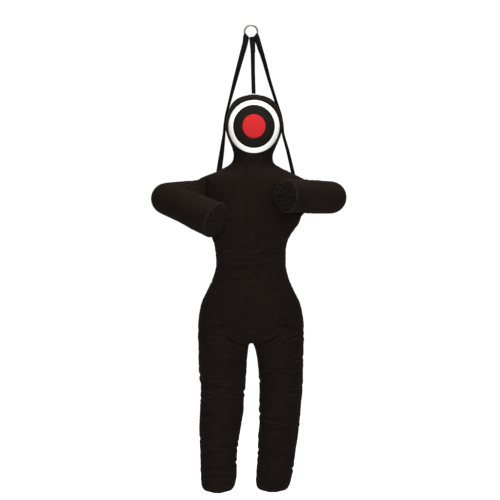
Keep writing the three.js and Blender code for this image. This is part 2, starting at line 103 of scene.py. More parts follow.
CAMERA_DISTANCE = 5.0
CAMERA_LENS = 80.0
camera_data = bpy.data.cameras.new("camera")
camera_data.lens = CAMERA_LENS
camera = bpy.data.objects.new("camera", camera_data)
bpy.context.scene.collection.objects.link(camera)
camera.location = (-0.0045, MIDDLE_Y - CAMERA_DISTANCE, -1.002)
camera.rotation_euler = (math.radians(90), 0, 0)
bpy.context.scene.camera = camera

# ---------------------------------------------------------------- sections

# Each row of the trunk: rise above the neck joint, centre x, half width, depth in front, depth
# behind (mm), and squareness of the section in front, where 2 is an ellipse.
TRUNK_ROWS = [
    (312, 13, 12, 12, 12, 2.0),
    (309, 13, 40, 38, 38, 2.1),
    (300, 13, 66, 62, 60, 2.3),
    (286, 13, 88, 80, 78, 2.5),
    (266, 13, 104, 94, 92, 2.8),
    (232, 13, 117, 102, 102, 3.2),
    (195, 13, 126, 105, 107, 3.4),
    (168, 13, 128, 106, 108, 3.4),
    (132, 13, 121, 104, 106, 3.2),
    (95, 13, 106, 97, 97, 2.8),
    (40, 10, 88, 80, 76, 2.3),
    (18, 8, 90, 78, 74, 2.2),
    (4, 7, 97, 78, 75, 2.2),
    (-10, 7, 118, 81, 78, 2.2),
    (-33, 9, 166, 93, 89, 2.3),
    (-54, 1, 214, 101, 98, 2.4),
    (-62, 1, 235, 104, 100, 2.3),
    (-71, 5, 250, 106, 102, 2.3),
    (-84, 5, 248, 110, 103, 2.3),
    (-104, 4, 238, 113, 104, 2.4),
    (-134, 3, 229, 117, 105, 2.4),
    (-182, 2, 226, 119, 105, 2.4),
    (-227, 1, 226, 118, 105, 2.4),
    (-257, 0, 219, 115, 105, 2.4),
    (-302, -1, 188, 109, 105, 2.4),
    (-343, -3, 167, 104, 105, 2.4),
    (-382, -2, 158, 101, 105, 2.4),
    (-447, 0, 155, 101, 105, 2.4),
    (-502, -1, 166, 105, 107, 2.4),
    (-567, -2, 194, 112, 114, 2.4),
    (-632, -1, 223, 118, 121, 2.4),
    (-727, 0, 237, 121, 125, 2.4),
    (-774, 0, 226, 112, 116, 2.4),
    (-797, 0, 198, 84, 88, 2.4),
]

# Each row of a leg: rise above the knee joint, centre x, half width, half depth (mm).
LEG_ROWS = {
    "left": [
        (340, 120, 98, 104),
        (258, 125, 114, 112),
        (228, 125, 112, 112),
        (199, 128, 109, 110),
        (154, 132, 104, 108),
        (42, 136, 98, 101),
        (-53, 131, 95, 99),
        (-127, 129, 91, 96),
        (-194, 121, 90, 93),
        (-250, 117, 86, 90),
        (-307, 111, 84, 88),
        (-362, 104, 82, 86),
        (-395, 100, 79, 84),
        (-416, 98, 72, 77),
        (-430, 98, 57, 62),
        (-437, 98, 34, 38),
        (-438.5, 98, 10, 12),
    ],
    "right": [
        (340, -120, 98, 104),
        (258, -125, 114, 112),
        (228, -124, 113, 112),
        (199, -124, 112, 111),
        (154, -127, 110, 110),
        (87, -127, 106, 107),
        (42, -125, 101, 102),
        (-26, -130, 98, 99),
        (-71, -131, 99, 98),
        (-127, -137, 96, 96),
        (-194, -142, 90, 92),
        (-241, -145, 85, 89),
        (-307, -146, 82, 87),
        (-362, -145, 82, 85),
        (-396, -146, 79, 83),
        (-418, -149, 72, 76),
        (-433, -149, 57, 62),
        (-441, -149, 34, 38),
        (-442.5, -149, 10, 12),
    ],
}


def spline_rows(rows, step):
    """Rows at even steps of their first column, through the given ones without overshoot."""
    table = np.array(sorted(rows), float)
    x, y = table[:, 0], table[:, 1:]
    slope = np.diff(y, axis=0) / np.diff(x)[:, None]
    tangent = np.zeros_like(y)
    same = slope[:-1] * slope[1:] > 0
    with np.errstate(divide="ignore", invalid="ignore"):
        harmonic = 2 * slope[:-1] * slope[1:] / (slope[:-1] + slope[1:])
    tangent[1:-1] = np.where(same, harmonic, 0)
    tangent[0], tangent[-1] = slope[0], slope[-1]
    at = np.unique(np.concatenate([np.arange(x[0], x[-1], step), x]))
    k = np.clip(np.searchsorted(x, at, "right") - 1, 0, len(x) - 2)
    h = (x[k + 1] - x[k])[:, None]
    t = ((at - x[k]) / (x[k + 1] - x[k]))[:, None]
    value = (
        y[k] * (2 * t**3 - 3 * t**2 + 1)
        + tangent[k] * h * (t**3 - 2 * t**2 + t)
        + y[k + 1] * (3 * t**2 - 2 * t**3)
        + tangent[k + 1] * h * (t**3 - t**2)
    )
    return np.column_stack([at, value])


def power(v, exponent):
    return np.sign(v) * np.abs(v) ** exponent


def loft(rings):
    """(vertices, faces) of a closed skin through rings of equal point counts."""
    rings = np.asarray(rings)
    rows, sides = rings.shape[:2]
    vertices = np.concatenate([rings.reshape(-1, 3), rings[0].mean(0)[None], rings[-1].mean(0)[None]])
    faces = []
    for r in range(rows - 1):
        for i in range(sides):
            j = (i + 1) % sides
            faces.append((r * sides + i, r * sides + j, (r + 1) * sides + j, (r + 1) * sides + i))
    first, last, top = rows * sides, rows * sides + 1, (rows - 1) * sides
    for i in range(sides):
        j = (i + 1) % sides
        faces.append((first, j, i))
        faces.append((last, top + i, top + j))
    return vertices, faces


LOFT_SIDES = 72
ROW_STEP = 8  # mm
BACK_SQUARENESS = 2.4
ANGLES = np.linspace(0, 2 * np.pi, LOFT_SIDES, endpoint=False)


def trunk_loft():
    rings = []
    for rise, x, half, front, back, square in spline_rows(TRUNK_ROWS, ROW_STEP):
        in_front = np.sin(ANGLES) < 0
        exponent = 2 / np.where(in_front, square, min(square, BACK_SQUARENESS))
        depth = np.where(in_front, front, back)
        px = x * MM + half * MM * power(np.cos(ANGLES), exponent)
        py = MIDDLE_Y + depth * MM * power(np.sin(ANGLES), exponent)
        rings.append(np.column_stack([px, py, np.full(LOFT_SIDES, NECK[2] + rise * MM)]))
    return loft(rings)


def leg_loft(side):
    rings = []
    for rise, x, half, depth in spline_rows(LEG_ROWS[side], ROW_STEP):
        px = (x + half * np.cos(ANGLES)) * MM
        py = MIDDLE_Y + depth * MM * np.sin(ANGLES)
        rings.append(np.column_stack([px, py, np.full(LOFT_SIDES, KNEE[side][2] + rise * MM)]))
    return loft(rings)


def tube_loft(start, end, stops):
    """A round tube along a straight limb. Each stop is (distance from start, radius), in metres."""
    run = unit(end - start)
    across = unit(np.cross(run, arr(0, 0, 1)))
    up = np.cross(across, run)
    rings = []
    for distance, radius in stops:
        centre = start + run * distance
        ring = np.outer(np.cos(ANGLES), across) + np.outer(np.sin(ANGLES), up)
        rings.append(centre + ring * radius)
    return loft(rings)


def ball_stops(radius, count=10):
    """The stops of a half ball before the start of a tube."""
    turns = np.linspace(0.04, 1, count) * math.pi / 2
    return [(-radius * math.cos(a), radius * math.sin(a)) for a in turns]


RIM = 13 * MM  # rounding of a hand's end
END_CROWN = 3 * MM  # how far the end panel of a hand bulges


def end_stops(length, radius):
    """The stops of a hand's rounded rim and its slightly crowned end."""
    turns = np.linspace(0, 1, 7) * math.pi / 2
    flat = length - END_CROWN
    rim = [(flat - RIM * (1 - math.sin(a)), radius - RIM * (1 - math.cos(a))) for a in turns]
    inner = radius - RIM
    crown = [(flat + END_CROWN * (1 - s * s), inner * s) for s in (0.9, 0.7, 0.45, 0.2, 0.04)]
    return rim + crown


def arm_lofts(side):
    shoulder, elbow = SHOULDER[side] - arr(0, 0, ARM_DROP), ELBOW[side]
    hand = PALM[side] + unit(PALM[side] - elbow) * PANEL_HALF
    length, reach = np.linalg.norm(elbow - shoulder), np.linalg.norm(hand - elbow)
    upper = [*ball_stops(SHOULDER_BALL), (length * 0.35, UPPER_ARM_RADIUS), (length, ARM_RADIUS)]
    turns = np.linspace(0.1, 0.96, 9) * math.pi / 2
    end = [(length + ARM_RADIUS * math.sin(a), ARM_RADIUS * math.cos(a)) for a in turns]
    fore = [
        *ball_stops(ARM_RADIUS),
        (reach * 0.35, ARM_RADIUS),
        (reach * 0.65, HAND_RADIUS[side] - 2 * MM),
        *end_stops(reach, HAND_RADIUS[side]),
    ]
    return [tube_loft(shoulder, elbow, upper + end), tube_loft(elbow, hand, fore)]


# ---------------------------------------------------------------- mesh helpers

def mesh_object(name, vertices, faces):
    mesh = bpy.data.meshes.new(name)
    mesh.from_pydata([tuple(v) for v in vertices], [], [tuple(f) for f in faces])
    mesh.update()
    obj = bpy.data.objects.new(name, mesh)
    bpy.context.scene.collection.objects.link(obj)
    return obj


def joined_lofts(lofts):
    """The vertices and faces of several lofts, which may overlap."""
    vertices, faces, start = [], [], 0
    for v, f in lofts:
        vertices.append(v)
        faces += [tuple(i + start for i in face) for face in f]
        start += len(v)
    return np.concatenate(vertices), faces


def apply_modifiers(obj):
    graph = bpy.context.evaluated_depsgraph_get()
    made = bpy.data.meshes.new_from_object(obj.evaluated_get(graph))
    obj.modifiers.clear()
    old, obj.data = obj.data, made
    bpy.data.meshes.remove(old)
    return obj


def places(mesh):
    co = np.empty(len(mesh.vertices) * 3)
    mesh.vertices.foreach_get("co", co)
    return co.reshape(-1, 3)


def normals(mesh):
    n = np.empty(len(mesh.vertices) * 3)
    mesh.vertices.foreach_get("normal", n)
    return n.reshape(-1, 3)


def put(mesh, co):
    mesh.vertices.foreach_set("co", np.asarray(co, np.float32).ravel())
    mesh.update()


VOXEL = 8 * MM
LIGHT_ROUNDS, JOIN_ROUNDS = 3, 14


def edge_ends(mesh):
    ends = np.empty(len(mesh.edges) * 2, np.int64)
    mesh.edges.foreach_get("vertices", ends)
    return ends[0::2], ends[1::2]


def spread(values, a, b, rounds):
    """Values averaged over each vertex's neighbours, several times over."""
    values = np.array(values, float)
    count = np.bincount(a, minlength=len(values)) + np.bincount(b, minlength=len(values))
    for _ in range(rounds):
        total = np.bincount(a, values[b], len(values)) + np.bincount(b, values[a], len(values))
        values = 0.5 * values + 0.5 * total / count
    return values


def smoothed(co, a, b, rounds):
    return np.column_stack([spread(co[:, k], a, b, rounds) for k in range(3)])


def remeshed(obj, joins):
    """Fuses overlapping lofts into one even skin, rounded well near each join (centre, reach)."""
    remesh = obj.modifiers.new("remesh", "REMESH")
    remesh.mode = "VOXEL"
    remesh.voxel_size = VOXEL
    mesh = apply_modifiers(obj).data
    co = places(mesh)
    a, b = edge_ends(mesh)
    near = np.zeros(len(co))
    for centre, reach in joins:
        near = np.maximum(near, np.linalg.norm(co - centre, axis=1) < reach)
    near = spread(near, a, b, 10)[:, None]
    light = smoothed(co, a, b, LIGHT_ROUNDS)
    put(mesh, light + near * (smoothed(light, a, b, JOIN_ROUNDS) - light))
    return obj


def run_lengths(points):
    """How far along a line of points each one is."""
    return np.concatenate([[0], np.cumsum(np.linalg.norm(np.diff(points, axis=0), axis=1))])


def picked(at, runs, values):
    """The values at some places along a line, one row for each."""
    return np.column_stack([np.interp(at, runs, values[:, k]) for k in range(3)])


def fade(distance, reach):
    """1 at no distance, falling smoothly to 0 over about twice the reach."""
    return np.exp(-((distance / reach) ** 2))


def ramp(value, low, high):
    t = np.clip((value - low) / (high - low), 0, 1)
    return t * t * (3 - 2 * t)


# ---------------------------------------------------------------- seams and cuts

GROIN_DROP = 46 * MM  # the groin seam's middle, below the hip joints
GROIN_SLOPE = 0.5
KNEE_SEAM = 75 * MM  # above the knee joint
ARMHOLE_OUT = {"left": 22 * MM, "right": 15 * MM}  # beyond the shoulder joint
ARMHOLE_TURN = math.radians(35)

TARGET_CENTRE = box_centre("target_red_disc")
ZIP_LOW, ZIP_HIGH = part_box("zip_teeth")


class Cut:
    """A plane through a point, its normal pointing out along the limb, that cuts faces near a centre."""

    def __init__(self, point, normal, centre, reach):
        self.point, self.normal = np.asarray(point), unit(normal)
        self.centre, self.reach = np.asarray(centre), reach

    def beyond(self, co):
        return (co - self.point) @ self.normal

    def near(self, co):
        return np.linalg.norm(co - self.centre, axis=1) < self.reach

    def ahead(self, distance):
        return tuple(self.point + self.normal * distance)


HAND_SEAM = 6 * MM  # how far a hand's end seam lies before the middle of its panel
SOLE_SEAM = 4 * MM

GROIN, KNEE_CUT, ARMHOLE, CROOK, HAND_END, SOLE_END = {}, {}, {}, {}, {}, {}
for side in SIDES:
    sign = SIGN[side]
    middle = arr(0, MIDDLE_Y, HIP[side][2] - GROIN_DROP)
    down = arr(sign * GROIN_SLOPE, 0, -1)
    GROIN[side] = Cut(middle, down, HIP[side] + arr(sign * 30 * MM, 0, 30 * MM), 0.24)
    above_knee = KNEE[side] + arr(0, 0, KNEE_SEAM)
    KNEE_CUT[side] = Cut(above_knee, arr(0, 0, -1), above_knee, 0.20)
    top = SHOULDER[side] + arr(sign * ARMHOLE_OUT[side], 0, -ARM_DROP)
    outward = arr(sign * math.cos(ARMHOLE_TURN), -math.sin(ARMHOLE_TURN), 0)
    ARMHOLE[side] = Cut(top, outward, top, 0.135)
    CROOK[side] = Cut(ELBOW[side], arr(0, -1, 0), ELBOW[side] - arr(sign * 30 * MM, 0, 0), 0.15)
    run = unit(PALM[side] - ELBOW[side])
    HAND_END[side] = Cut(PALM[side] - run * HAND_SEAM, run, PALM[side], 0.10)
    SOLE_END[side] = Cut(SOLE[side] + arr(0, 0, SOLE_SEAM), arr(0, 0, -1), SOLE[side], 0.12)


ARM_INNER = 0.15  # the arms lie farther from the middle than this, except in front of the chest


def on_arm(co, side):
    """Which points belong to an arm, beyond its armhole."""
    out = SIGN[side] * co[:, 0]
    outside = (ARMHOLE[side].beyond(co) > 0) & (out > ARM_INNER)
    front = co[:, 1] < MIDDLE_Y - 130 * MM
    level = (co[:, 2] > -1.0) & (co[:, 2] < NECK[2] - 40 * MM)
    return level & (outside | front) & (out > 0)


def seam_distances(co):
    """The distance of each point from the nearest sewn seam."""
    arm = on_arm(co, "left") | on_arm(co, "right")
    side_seam = np.where(arm, 1.0, np.abs(co[:, 1] - MIDDLE_Y))
    armpit = (co[:, 2] < -0.72) & (co[:, 2] > -0.85) & (np.abs(co[:, 0]) > 0.19)
    side_seam = np.where(armpit, 1.0, side_seam)
    back = co[:, 1] > MIDDLE_Y + 40 * MM
    back &= (co[:, 2] > HIP["left"][2] - 0.05) & (co[:, 2] < NECK[2] + 0.30)
    back_seam = np.where(back, np.abs(co[:, 0]), 1.0)
    near = np.minimum(side_seam, back_seam)
    for side in SIDES:
        for cut in (ARMHOLE[side], HAND_END[side], SOLE_END[side]):
            near = np.minimum(near, np.where(cut.near(co), np.abs(cut.beyond(co)), 1.0))
    return near


# ---------------------------------------------------------------- cloth

def settled(obj, pinned, frames=16):
    """Where each vertex goes as the cloth, cut a little large, fills out under the stuffing's pressure."""
    group = obj.vertex_groups.new(name="pinned")
    levels = np.round(pinned, 1)
    for level in np.unique(levels[levels > 0]):
        group.add(np.flatnonzero(levels == level).tolist(), float(level), "REPLACE")
    cloth = obj.modifiers.new("cloth", "CLOTH")
    settings = cloth.settings
    settings.quality = 4
    settings.mass = 0.3
    settings.tension_stiffness = settings.compression_stiffness = 15
    settings.shear_stiffness = 5
    settings.bending_stiffness = 0.5
    settings.use_pressure = True
    settings.uniform_pressure_force = 4
    settings.effector_weights.gravity = 0
    settings.shrink_min = settings.shrink_max = -0.03
    settings.vertex_group_mass = group.name
    cloth.collision_settings.use_collision = False
    cloth.collision_settings.use_self_collision = False
    cloth.point_cache.frame_start, cloth.point_cache.frame_end = 1, frames
    for f in range(1, frames + 1):
        bpy.context.scene.frame_set(f)
    graph = bpy.context.evaluated_depsgraph_get()
    result = obj.evaluated_get(graph)
    co = places(result.to_mesh()).copy()
    result.to_mesh_clear()
    obj.modifiers.clear()
    bpy.context.scene.frame_set(1)
    return co


SWELL_ROUNDS, SLACK_ROUNDS, QUIET_ROUNDS = 90, 60, 12
DETAIL_RANGE = (-7 * MM, 8 * MM)
TRUNK_SLACK, LEG_SLACK = 0.6, 0.75
SIDEWAYS_SHARE = 0.5


def wrinkled(obj):
    """Keeps the settled cloth's wrinkles, with the overall swelling taken out, and quiets them where
    the real cover lies smooth: on the face and along the zip."""
    mesh = obj.data
    rest = places(mesh).copy()
    n = normals(mesh).copy()
    a, b = edge_ends(mesh)
    pinned = 0.9 * fade(seam_distances(rest), 6 * MM)
    moved = settled(obj, pinned) - rest
    swell = (moved * n).sum(1)
    detail = np.clip(swell - spread(swell, a, b, SWELL_ROUNDS), *DETAIL_RANGE)
    slack = np.where(rest[:, 2] > HIP["left"][2], TRUNK_SLACK, LEG_SLACK)
    slack = spread(slack, a, b, SLACK_ROUNDS)
    face = (np.linalg.norm((rest - TARGET_CENTRE)[:, [0, 2]], axis=1) < 0.13) & (rest[:, 1] < MIDDLE_Y)
    zipped = (np.abs(rest[:, 0]) < 26 * MM) & (rest[:, 1] > MIDDLE_Y + 60 * MM)
    zipped &= (rest[:, 2] > ZIP_LOW.z - 20 * MM) & (rest[:, 2] < ZIP_HIGH.z + 20 * MM)
    quiet = spread((face | zipped).astype(float), a, b, QUIET_ROUNDS)
    share = slack * (1 - quiet)
    sideways = moved - swell[:, None] * n
    put(mesh, rest + n * (detail * share)[:, None] + SIDEWAYS_SHARE * sideways * share[:, None])
    return obj


JOINS = [(arr(0, MIDDLE_Y, HIP["left"][2] - 20 * MM), 0.10)]
for side in SIDES:
    JOINS.append((SHOULDER[side] - arr(0, 0, ARM_DROP), 0.13))
    JOINS.append((ELBOW[side] - arr(SIGN[side] * 100 * MM, 0, 0), 0.07))
lofts = [trunk_loft(), *map(leg_loft, SIDES), *arm_lofts("left"), *arm_lofts("right")]
body = remeshed(mesh_object("body", *joined_lofts(lofts)), JOINS)
wrinkled(body)
body.modifiers.new("finer", "SUBSURF").levels = 1
apply_modifiers(body)

# ---------------------------------------------------------------- folds and grooves

GRAPH = bpy.context.evaluated_depsgraph_get
tree = BVHTree.FromObject(body, GRAPH())
co = places(body.data).copy()
facing = normals(body.data).copy()
rng = np.random.default_rng(7)


def hit(origin, direction):
    """(place, normal) where a ray meets the skin, or None."""
    place, normal, _, _ = tree.ray_cast(Vector(origin), Vector(direction))
    return None if place is None else (np.array(place), np.array(normal))


def front_line(points, above):
    """A line on the front of the skin through points (x, rise above a height), in mm."""
    dense = spline_rows([(i, *p) for i, p in enumerate(points)], 0.1)[:, 1:]
    hits = [hit((x * MM, -1, above + rise * MM), (0, 1, 0)) for x, rise in dense]
    return [h[0] for h in hits if h]


def round_line(centre, axis, ahead, start, stop, tilt):
    """A line round a limb, from the start to the stop angle (degrees from ahead), climbing by tilt."""
    axis = unit(axis)
    ahead = unit(ahead - axis * (np.asarray(ahead) @ axis))
    side_way = np.cross(axis, ahead)
    line = []
    for t in np.linspace(0, 1, 24):
        a = math.radians(start + (stop - start) * t)
        h = hit(centre + axis * tilt * (t - 0.5), ahead * math.cos(a) + side_way * math.sin(a))
        if h:
            line.append(h[0])
    return line


moved = np.zeros_like(co)
FOLD_REACH = 4  # widths
FOLD_RIDGE = 0.32  # of the fold's depth


def press(line, depth, width):
    """Presses a fold into the skin along a line, deepest in its middle, with a soft ridge on each side."""
    if len(line) < 4:
        return
    line = np.array(line)
    low, high = line.min(0) - FOLD_REACH * width, line.max(0) + FOLD_REACH * width
    near = np.flatnonzero(((co > low) & (co < high)).all(1))
    away = np.linalg.norm(co[near, None] - line[None], axis=2)
    closest = away.argmin(1)
    distance = away[np.arange(len(near)), closest]
    taper = np.sin(np.pi * np.clip(closest / (len(line) - 1), 0.02, 0.98)) ** 0.7
    shape = fade(distance, width) - FOLD_RIDGE * fade(distance - 2 * width, width)
    moved[near] -= facing[near] * (depth * taper * shape)[:, None]


# Folds in front: points (x, rise above the hip joints), then depth and width (mm).
HIP_FOLDS = [
    ([(24, -36), (60, -18), (100, 2), (152, 30)], 5, 6),
    ([(-18, -40), (-50, -28), (-85, -10), (-122, 10)], 6, 6),
    ([(128, 2), (142, 15), (160, 34)], 3, 5),
    ([(166, -2), (192, 8), (222, 20)], 4, 6),
    ([(168, -106), (190, -96), (212, -84)], 4, 6),
    ([(-196, 2), (-172, -8), (-150, -4)], 3, 7),
    ([(40, -80), (80, -70), (120, -74)], 2, 8),
    ([(-150, -70), (-110, -62), (-70, -72)], 2, 8),
    ([(60, 20), (110, 48), (170, 62)], 2, 9),
    ([(-60, 14), (-110, 40), (-165, 50)], 2, 9),
    ([(-30, 4), (0, 16), (30, 6)], 1.5, 8),
]
# The same from the knee joints.
KNEE_FOLDS = [
    ([(-208, 36), (-186, 31), (-160, 30)], 3.5, 4.5),
    ([(-206, 14), (-184, 8), (-158, 10)], 3.5, 4.5),
    ([(-205, -10), (-182, -13), (-160, -8)], 3, 4.5),
    ([(-78, 10), (-60, 8), (-44, 12)], 4, 5),
    ([(60, 34), (90, 26), (130, 32)], 2, 7),
    ([(90, -20), (130, -28), (170, -18)], 2.2, 7),
    ([(-190, -60), (-150, -70), (-100, -62)], 2, 8),
]
# Chest and belly, from the neck joint.
CHEST_FOLDS = [
    ([(150, -232), (178, -222), (205, -238)], 3, 7),
    ([(140, -262), (172, -262), (198, -272)], 2.5, 7),
    ([(-202, -250), (-176, -262), (-150, -262)], 2.5, 7),
    ([(-100, -420), (-60, -432), (-10, -428)], 1.8, 9),
    ([(20, -452), (70, -446), (120, -456)], 1.8, 9),
    ([(-140, -462), (-110, -470), (-70, -468)], 2, 7),
    ([(-60, -40), (-30, -52), (-8, -50)], 2, 7),
    ([(76, -38), (50, -50), (24, -50)], 2, 7),
]
for folds, above in ((HIP_FOLDS, HIP["left"][2]), (KNEE_FOLDS, KNEE["left"][2]), (CHEST_FOLDS, NECK[2])):
    for points, depth, width in folds:
        press(front_line(points, above), depth * MM, width * MM)

# Notches in the outline of the legs: side, rise above the knee joint (mm), angles from the outer
# side towards the front, depth and width (mm).
LEG_NOTCHES = [
    ("left", 262, -60, 55, 4, 8),
    ("left", 166, -55, 60, 4, 7),
    ("left", 40, -50, 35, 3, 7),
    ("left", -150, -60, 40, 3, 7),
    ("left", -334, -70, 60, 6, 6),
    ("right", 87, -60, 50, 4, 8),
    ("right", -20, -60, 30, 3, 7),
    ("right", -200, -50, 45, 3.5, 7),
    ("right", 10, 140, 230, 6, 8),
    ("right", -241, 130, 230, 5, 7),
    ("right", -307, 130, 225, 5, 7),
    ("left", 60, 140, 220, 4, 8),
    ("left", -90, 140, 225, 4, 8),
    ("left", -250, 135, 220, 4, 7),
]
WANDER_DEPTH = (1.0 * MM, 2.4 * MM)
WANDER_WIDTH = (5 * MM, 9 * MM)


def leg_middle(side, rise):
    rows = spline_rows(LEG_ROWS[side], 4)
    return arr(np.interp(rise, rows[:, 0], rows[:, 1]) * MM, MIDDLE_Y, KNEE[side][2] + rise * MM)


def round_leg(side, rise, start, stop, tilt):
    out = arr(SIGN[side], 0, 0)
    turn = -SIGN[side]
    return round_line(leg_middle(side, rise), arr(0, 0, 1), out, turn * start, turn * stop, tilt)


for side, rise, start, stop, depth, width in LEG_NOTCHES:
    press(round_leg(side, rise, start, stop, 6 * MM), depth * MM, width * MM)
for side in SIDES:
    for _ in range(26):
        start, rise = rng.uniform(0, 360), rng.uniform(-370, 250)
        line = round_leg(side, rise, start, start + rng.uniform(35, 95), rng.uniform(-22, 22) * MM)
        press(line, rng.uniform(*WANDER_DEPTH), rng.uniform(*WANDER_WIDTH))
for _ in range(22):
    start, rise = rng.uniform(0, 360), rng.uniform(-720, -250)
    centre = arr(0, MIDDLE_Y, NECK[2] + rise * MM)
    stop, tilt = start + rng.uniform(20, 50), rng.uniform(-30, 30) * MM
    line = round_line(centre, arr(0, 0, 1), arr(1, 0, 0), start, stop, tilt)
    press(line, rng.uniform(*WANDER_DEPTH), rng.uniform(*WANDER_WIDTH))

# The arms crumple inside the elbow, and pull short folds out of each armhole.
for side in SIDES:
    sign = SIGN[side]
    crook = arr(-sign, 0, 0)
    shoulder = SHOULDER[side] - arr(0, 0, ARM_DROP)
    start = ELBOW[side]
    for end, spots in ((shoulder, (20, 38, 60)), (PALM[side], (18, 36, 58, 90))):
        run = unit(end - start)
        for spot in spots:
            centre = start + run * spot * MM
            half = rng.uniform(38, 60)
            line = round_line(centre, run, crook, -half, half, rng.uniform(-14, 14) * MM)
            press(line, rng.uniform(2.4, 4.2) * MM, rng.uniform(4.5, 6.5) * MM)
        for _ in range(7):
            centre = start + run * rng.uniform(40, 200) * MM
            turn = rng.uniform(0, 360)
            line = round_line(centre, run, crook, turn, turn + rng.uniform(30, 70), rng.uniform(-25, 25) * MM)
            press(line, rng.uniform(0.9, 1.8) * MM, rng.uniform(5, 8) * MM)
co += moved

SEAM_DEPTH, SEAM_WIDTH = 2.2 * MM, 4.5 * MM
WELT_AWAY, WELT_WIDTH = 12 * MM, 6 * MM
ARMHOLE_DEPTH, ARMHOLE_WIDTH = 5 * MM, 8 * MM
seam = seam_distances(co)
welt = fade(seam - WELT_AWAY, WELT_WIDTH) / 4
co -= facing * (SEAM_DEPTH * (fade(seam, SEAM_WIDTH) - welt))[:, None]
for side in SIDES:
    at = ARMHOLE[side]
    away = np.where(at.near(co), np.abs(at.beyond(co)), 1.0)
    co -= facing * (ARMHOLE_DEPTH * fade(away, ARMHOLE_WIDTH))[:, None]

# The back is drawn flat behind the zip.
across = 1 - ramp(np.abs(co[:, 0]), 19 * MM, 32 * MM)
upright = ramp(co[:, 2], ZIP_LOW.z - 30 * MM, ZIP_LOW.z - 6 * MM)
upright *= 1 - ramp(co[:, 2], ZIP_HIGH.z + 6 * MM, ZIP_HIGH.z + 30 * MM)
flat = across * upright * (co[:, 1] > MIDDLE_Y + 50 * MM)
co[:, 1] += (BACK_Y - co[:, 1]) * flat
put(body.data, co)

RIDGE_ROUNDS, RIDGE_FULL = 8, 1.2 * MM
# What the canvas needs to know about each point: its place and facing in the uncut skin, how far it
# stands proud of its surroundings, and how near it is to a seam.
facing = normals(body.data).copy()
proud = co - smoothed(co, *edge_ends(body.data), RIDGE_ROUNDS)
ridge = np.clip((proud * facing).sum(1) / RIDGE_FULL, -1, 1)
tree = BVHTree.FromObject(body, GRAPH())

# ---------------------------------------------------------------- cutting the skin at the joints

CUTS = [cut[side] for cut in (GROIN, KNEE_CUT, ARMHOLE, CROOK, HAND_END, SOLE_END) for side in SIDES]
CAP_SINK = 5 * MM


def write_attribute(mesh, name, values):
    kind = "FLOAT" if values.ndim == 1 else "FLOAT_VECTOR"
    field = "value" if values.ndim == 1 else "vector"
    attribute = mesh.attributes.get(name) or mesh.attributes.new(name, kind, "POINT")
    attribute.data.foreach_set(field, values.astype(np.float32).ravel())


def read_attribute(mesh, name, width):
    values = np.empty(len(mesh.vertices) * width, np.float32)
    mesh.attributes[name].data.foreach_get("value" if width == 1 else "vector", values)
    return values if width == 1 else values.reshape(-1, width)


FIELDS = {"cloth_at": 3, "cloth_facing": 3, "ridge": 1, "seam": 1}
for name, values in (("cloth_at", co), ("cloth_facing", facing), ("ridge", ridge), ("seam", seam)):
    write_attribute(body.data, name, values)


SMALLEST_PART = 200  # faces; less is a sliver, which stays with its neighbour


def label_parts(bm, layer, blocked):
    """Numbers the parts of a skin that its blocked edges separate."""
    sizes = []
    for seed in bm.faces:
        if seed[layer]:
            continue
        number = len(sizes) + 1
        seed[layer] = number
        wave, size = [seed], 0
        while wave:
            face = wave.pop()
            size += 1
            for edge in face.edges:
                if edge in blocked:
                    continue
                for other in edge.link_faces:
                    if not other[layer]:
                        other[layer] = number
                        wave.append(other)
        sizes.append(size)
    joined = {}
    for edge in blocked:
        numbers = sorted({f[layer] for f in edge.link_faces}, key=lambda n: sizes[n - 1])
        if len(numbers) == 2 and sizes[numbers[0] - 1] < SMALLEST_PART:
            joined[numbers[0]] = numbers[1]
    for face in bm.faces:
        face[layer] = joined.get(face[layer], face[layer])


def cut_faces(mesh):
    """The skin cut at every joint: places, fields, faces, and the number of the part that each is in."""
    bm = bmesh.new()
    bm.from_mesh(mesh)
    layer = bm.faces.layers.int.new("part")
    blocked = set()
    for cut in CUTS:
        centre, side = Vector(cut.centre), math.copysign(1, cut.centre[0])
        near = []
        for f in bm.faces:
            at = f.verts[0].co
            if at.x * side > 0 and (at - centre).length < cut.reach:
                near.append(f)
        parts = {e for f in near for e in f.edges} | {v for f in near for v in f.verts}
        done = bmesh.ops.bisect_plane(bm, geom=near + list(parts), plane_co=cut.point, plane_no=cut.normal)
        blocked.update(e for e in done["geom_cut"] if isinstance(e, bmesh.types.BMEdge))
    label_parts(bm, layer, blocked)
    opened = [e for e in blocked if len({f[layer] for f in e.link_faces}) == 2]
    bmesh.ops.split_edges(bm, edges=opened)
    bm.to_mesh(mesh)
    bm.free()
    fields = {name: read_attribute(mesh, name, width) for name, width in FIELDS.items()}
    label = np.empty(len(mesh.polygons), np.int32)
    mesh.attributes["part"].data.foreach_get("value", label)
    return places(mesh), fields, [tuple(p.vertices) for p in mesh.polygons], label


def rims(faces):
    """The open edges of a set of faces, chained into loops in the faces' own direction."""
    edges = {(f[k - 1], f[k]) for f in faces for k in range(len(f))}
    following = {a: b for a, b in edges if (b, a) not in edges}
    loops = []
    while following:
        start = next(iter(following))
        loop = [start]
        while loop[-1] in following:
            loop.append(following.pop(loop[-1]))
        loops.append(loop[:-1])
    return loops


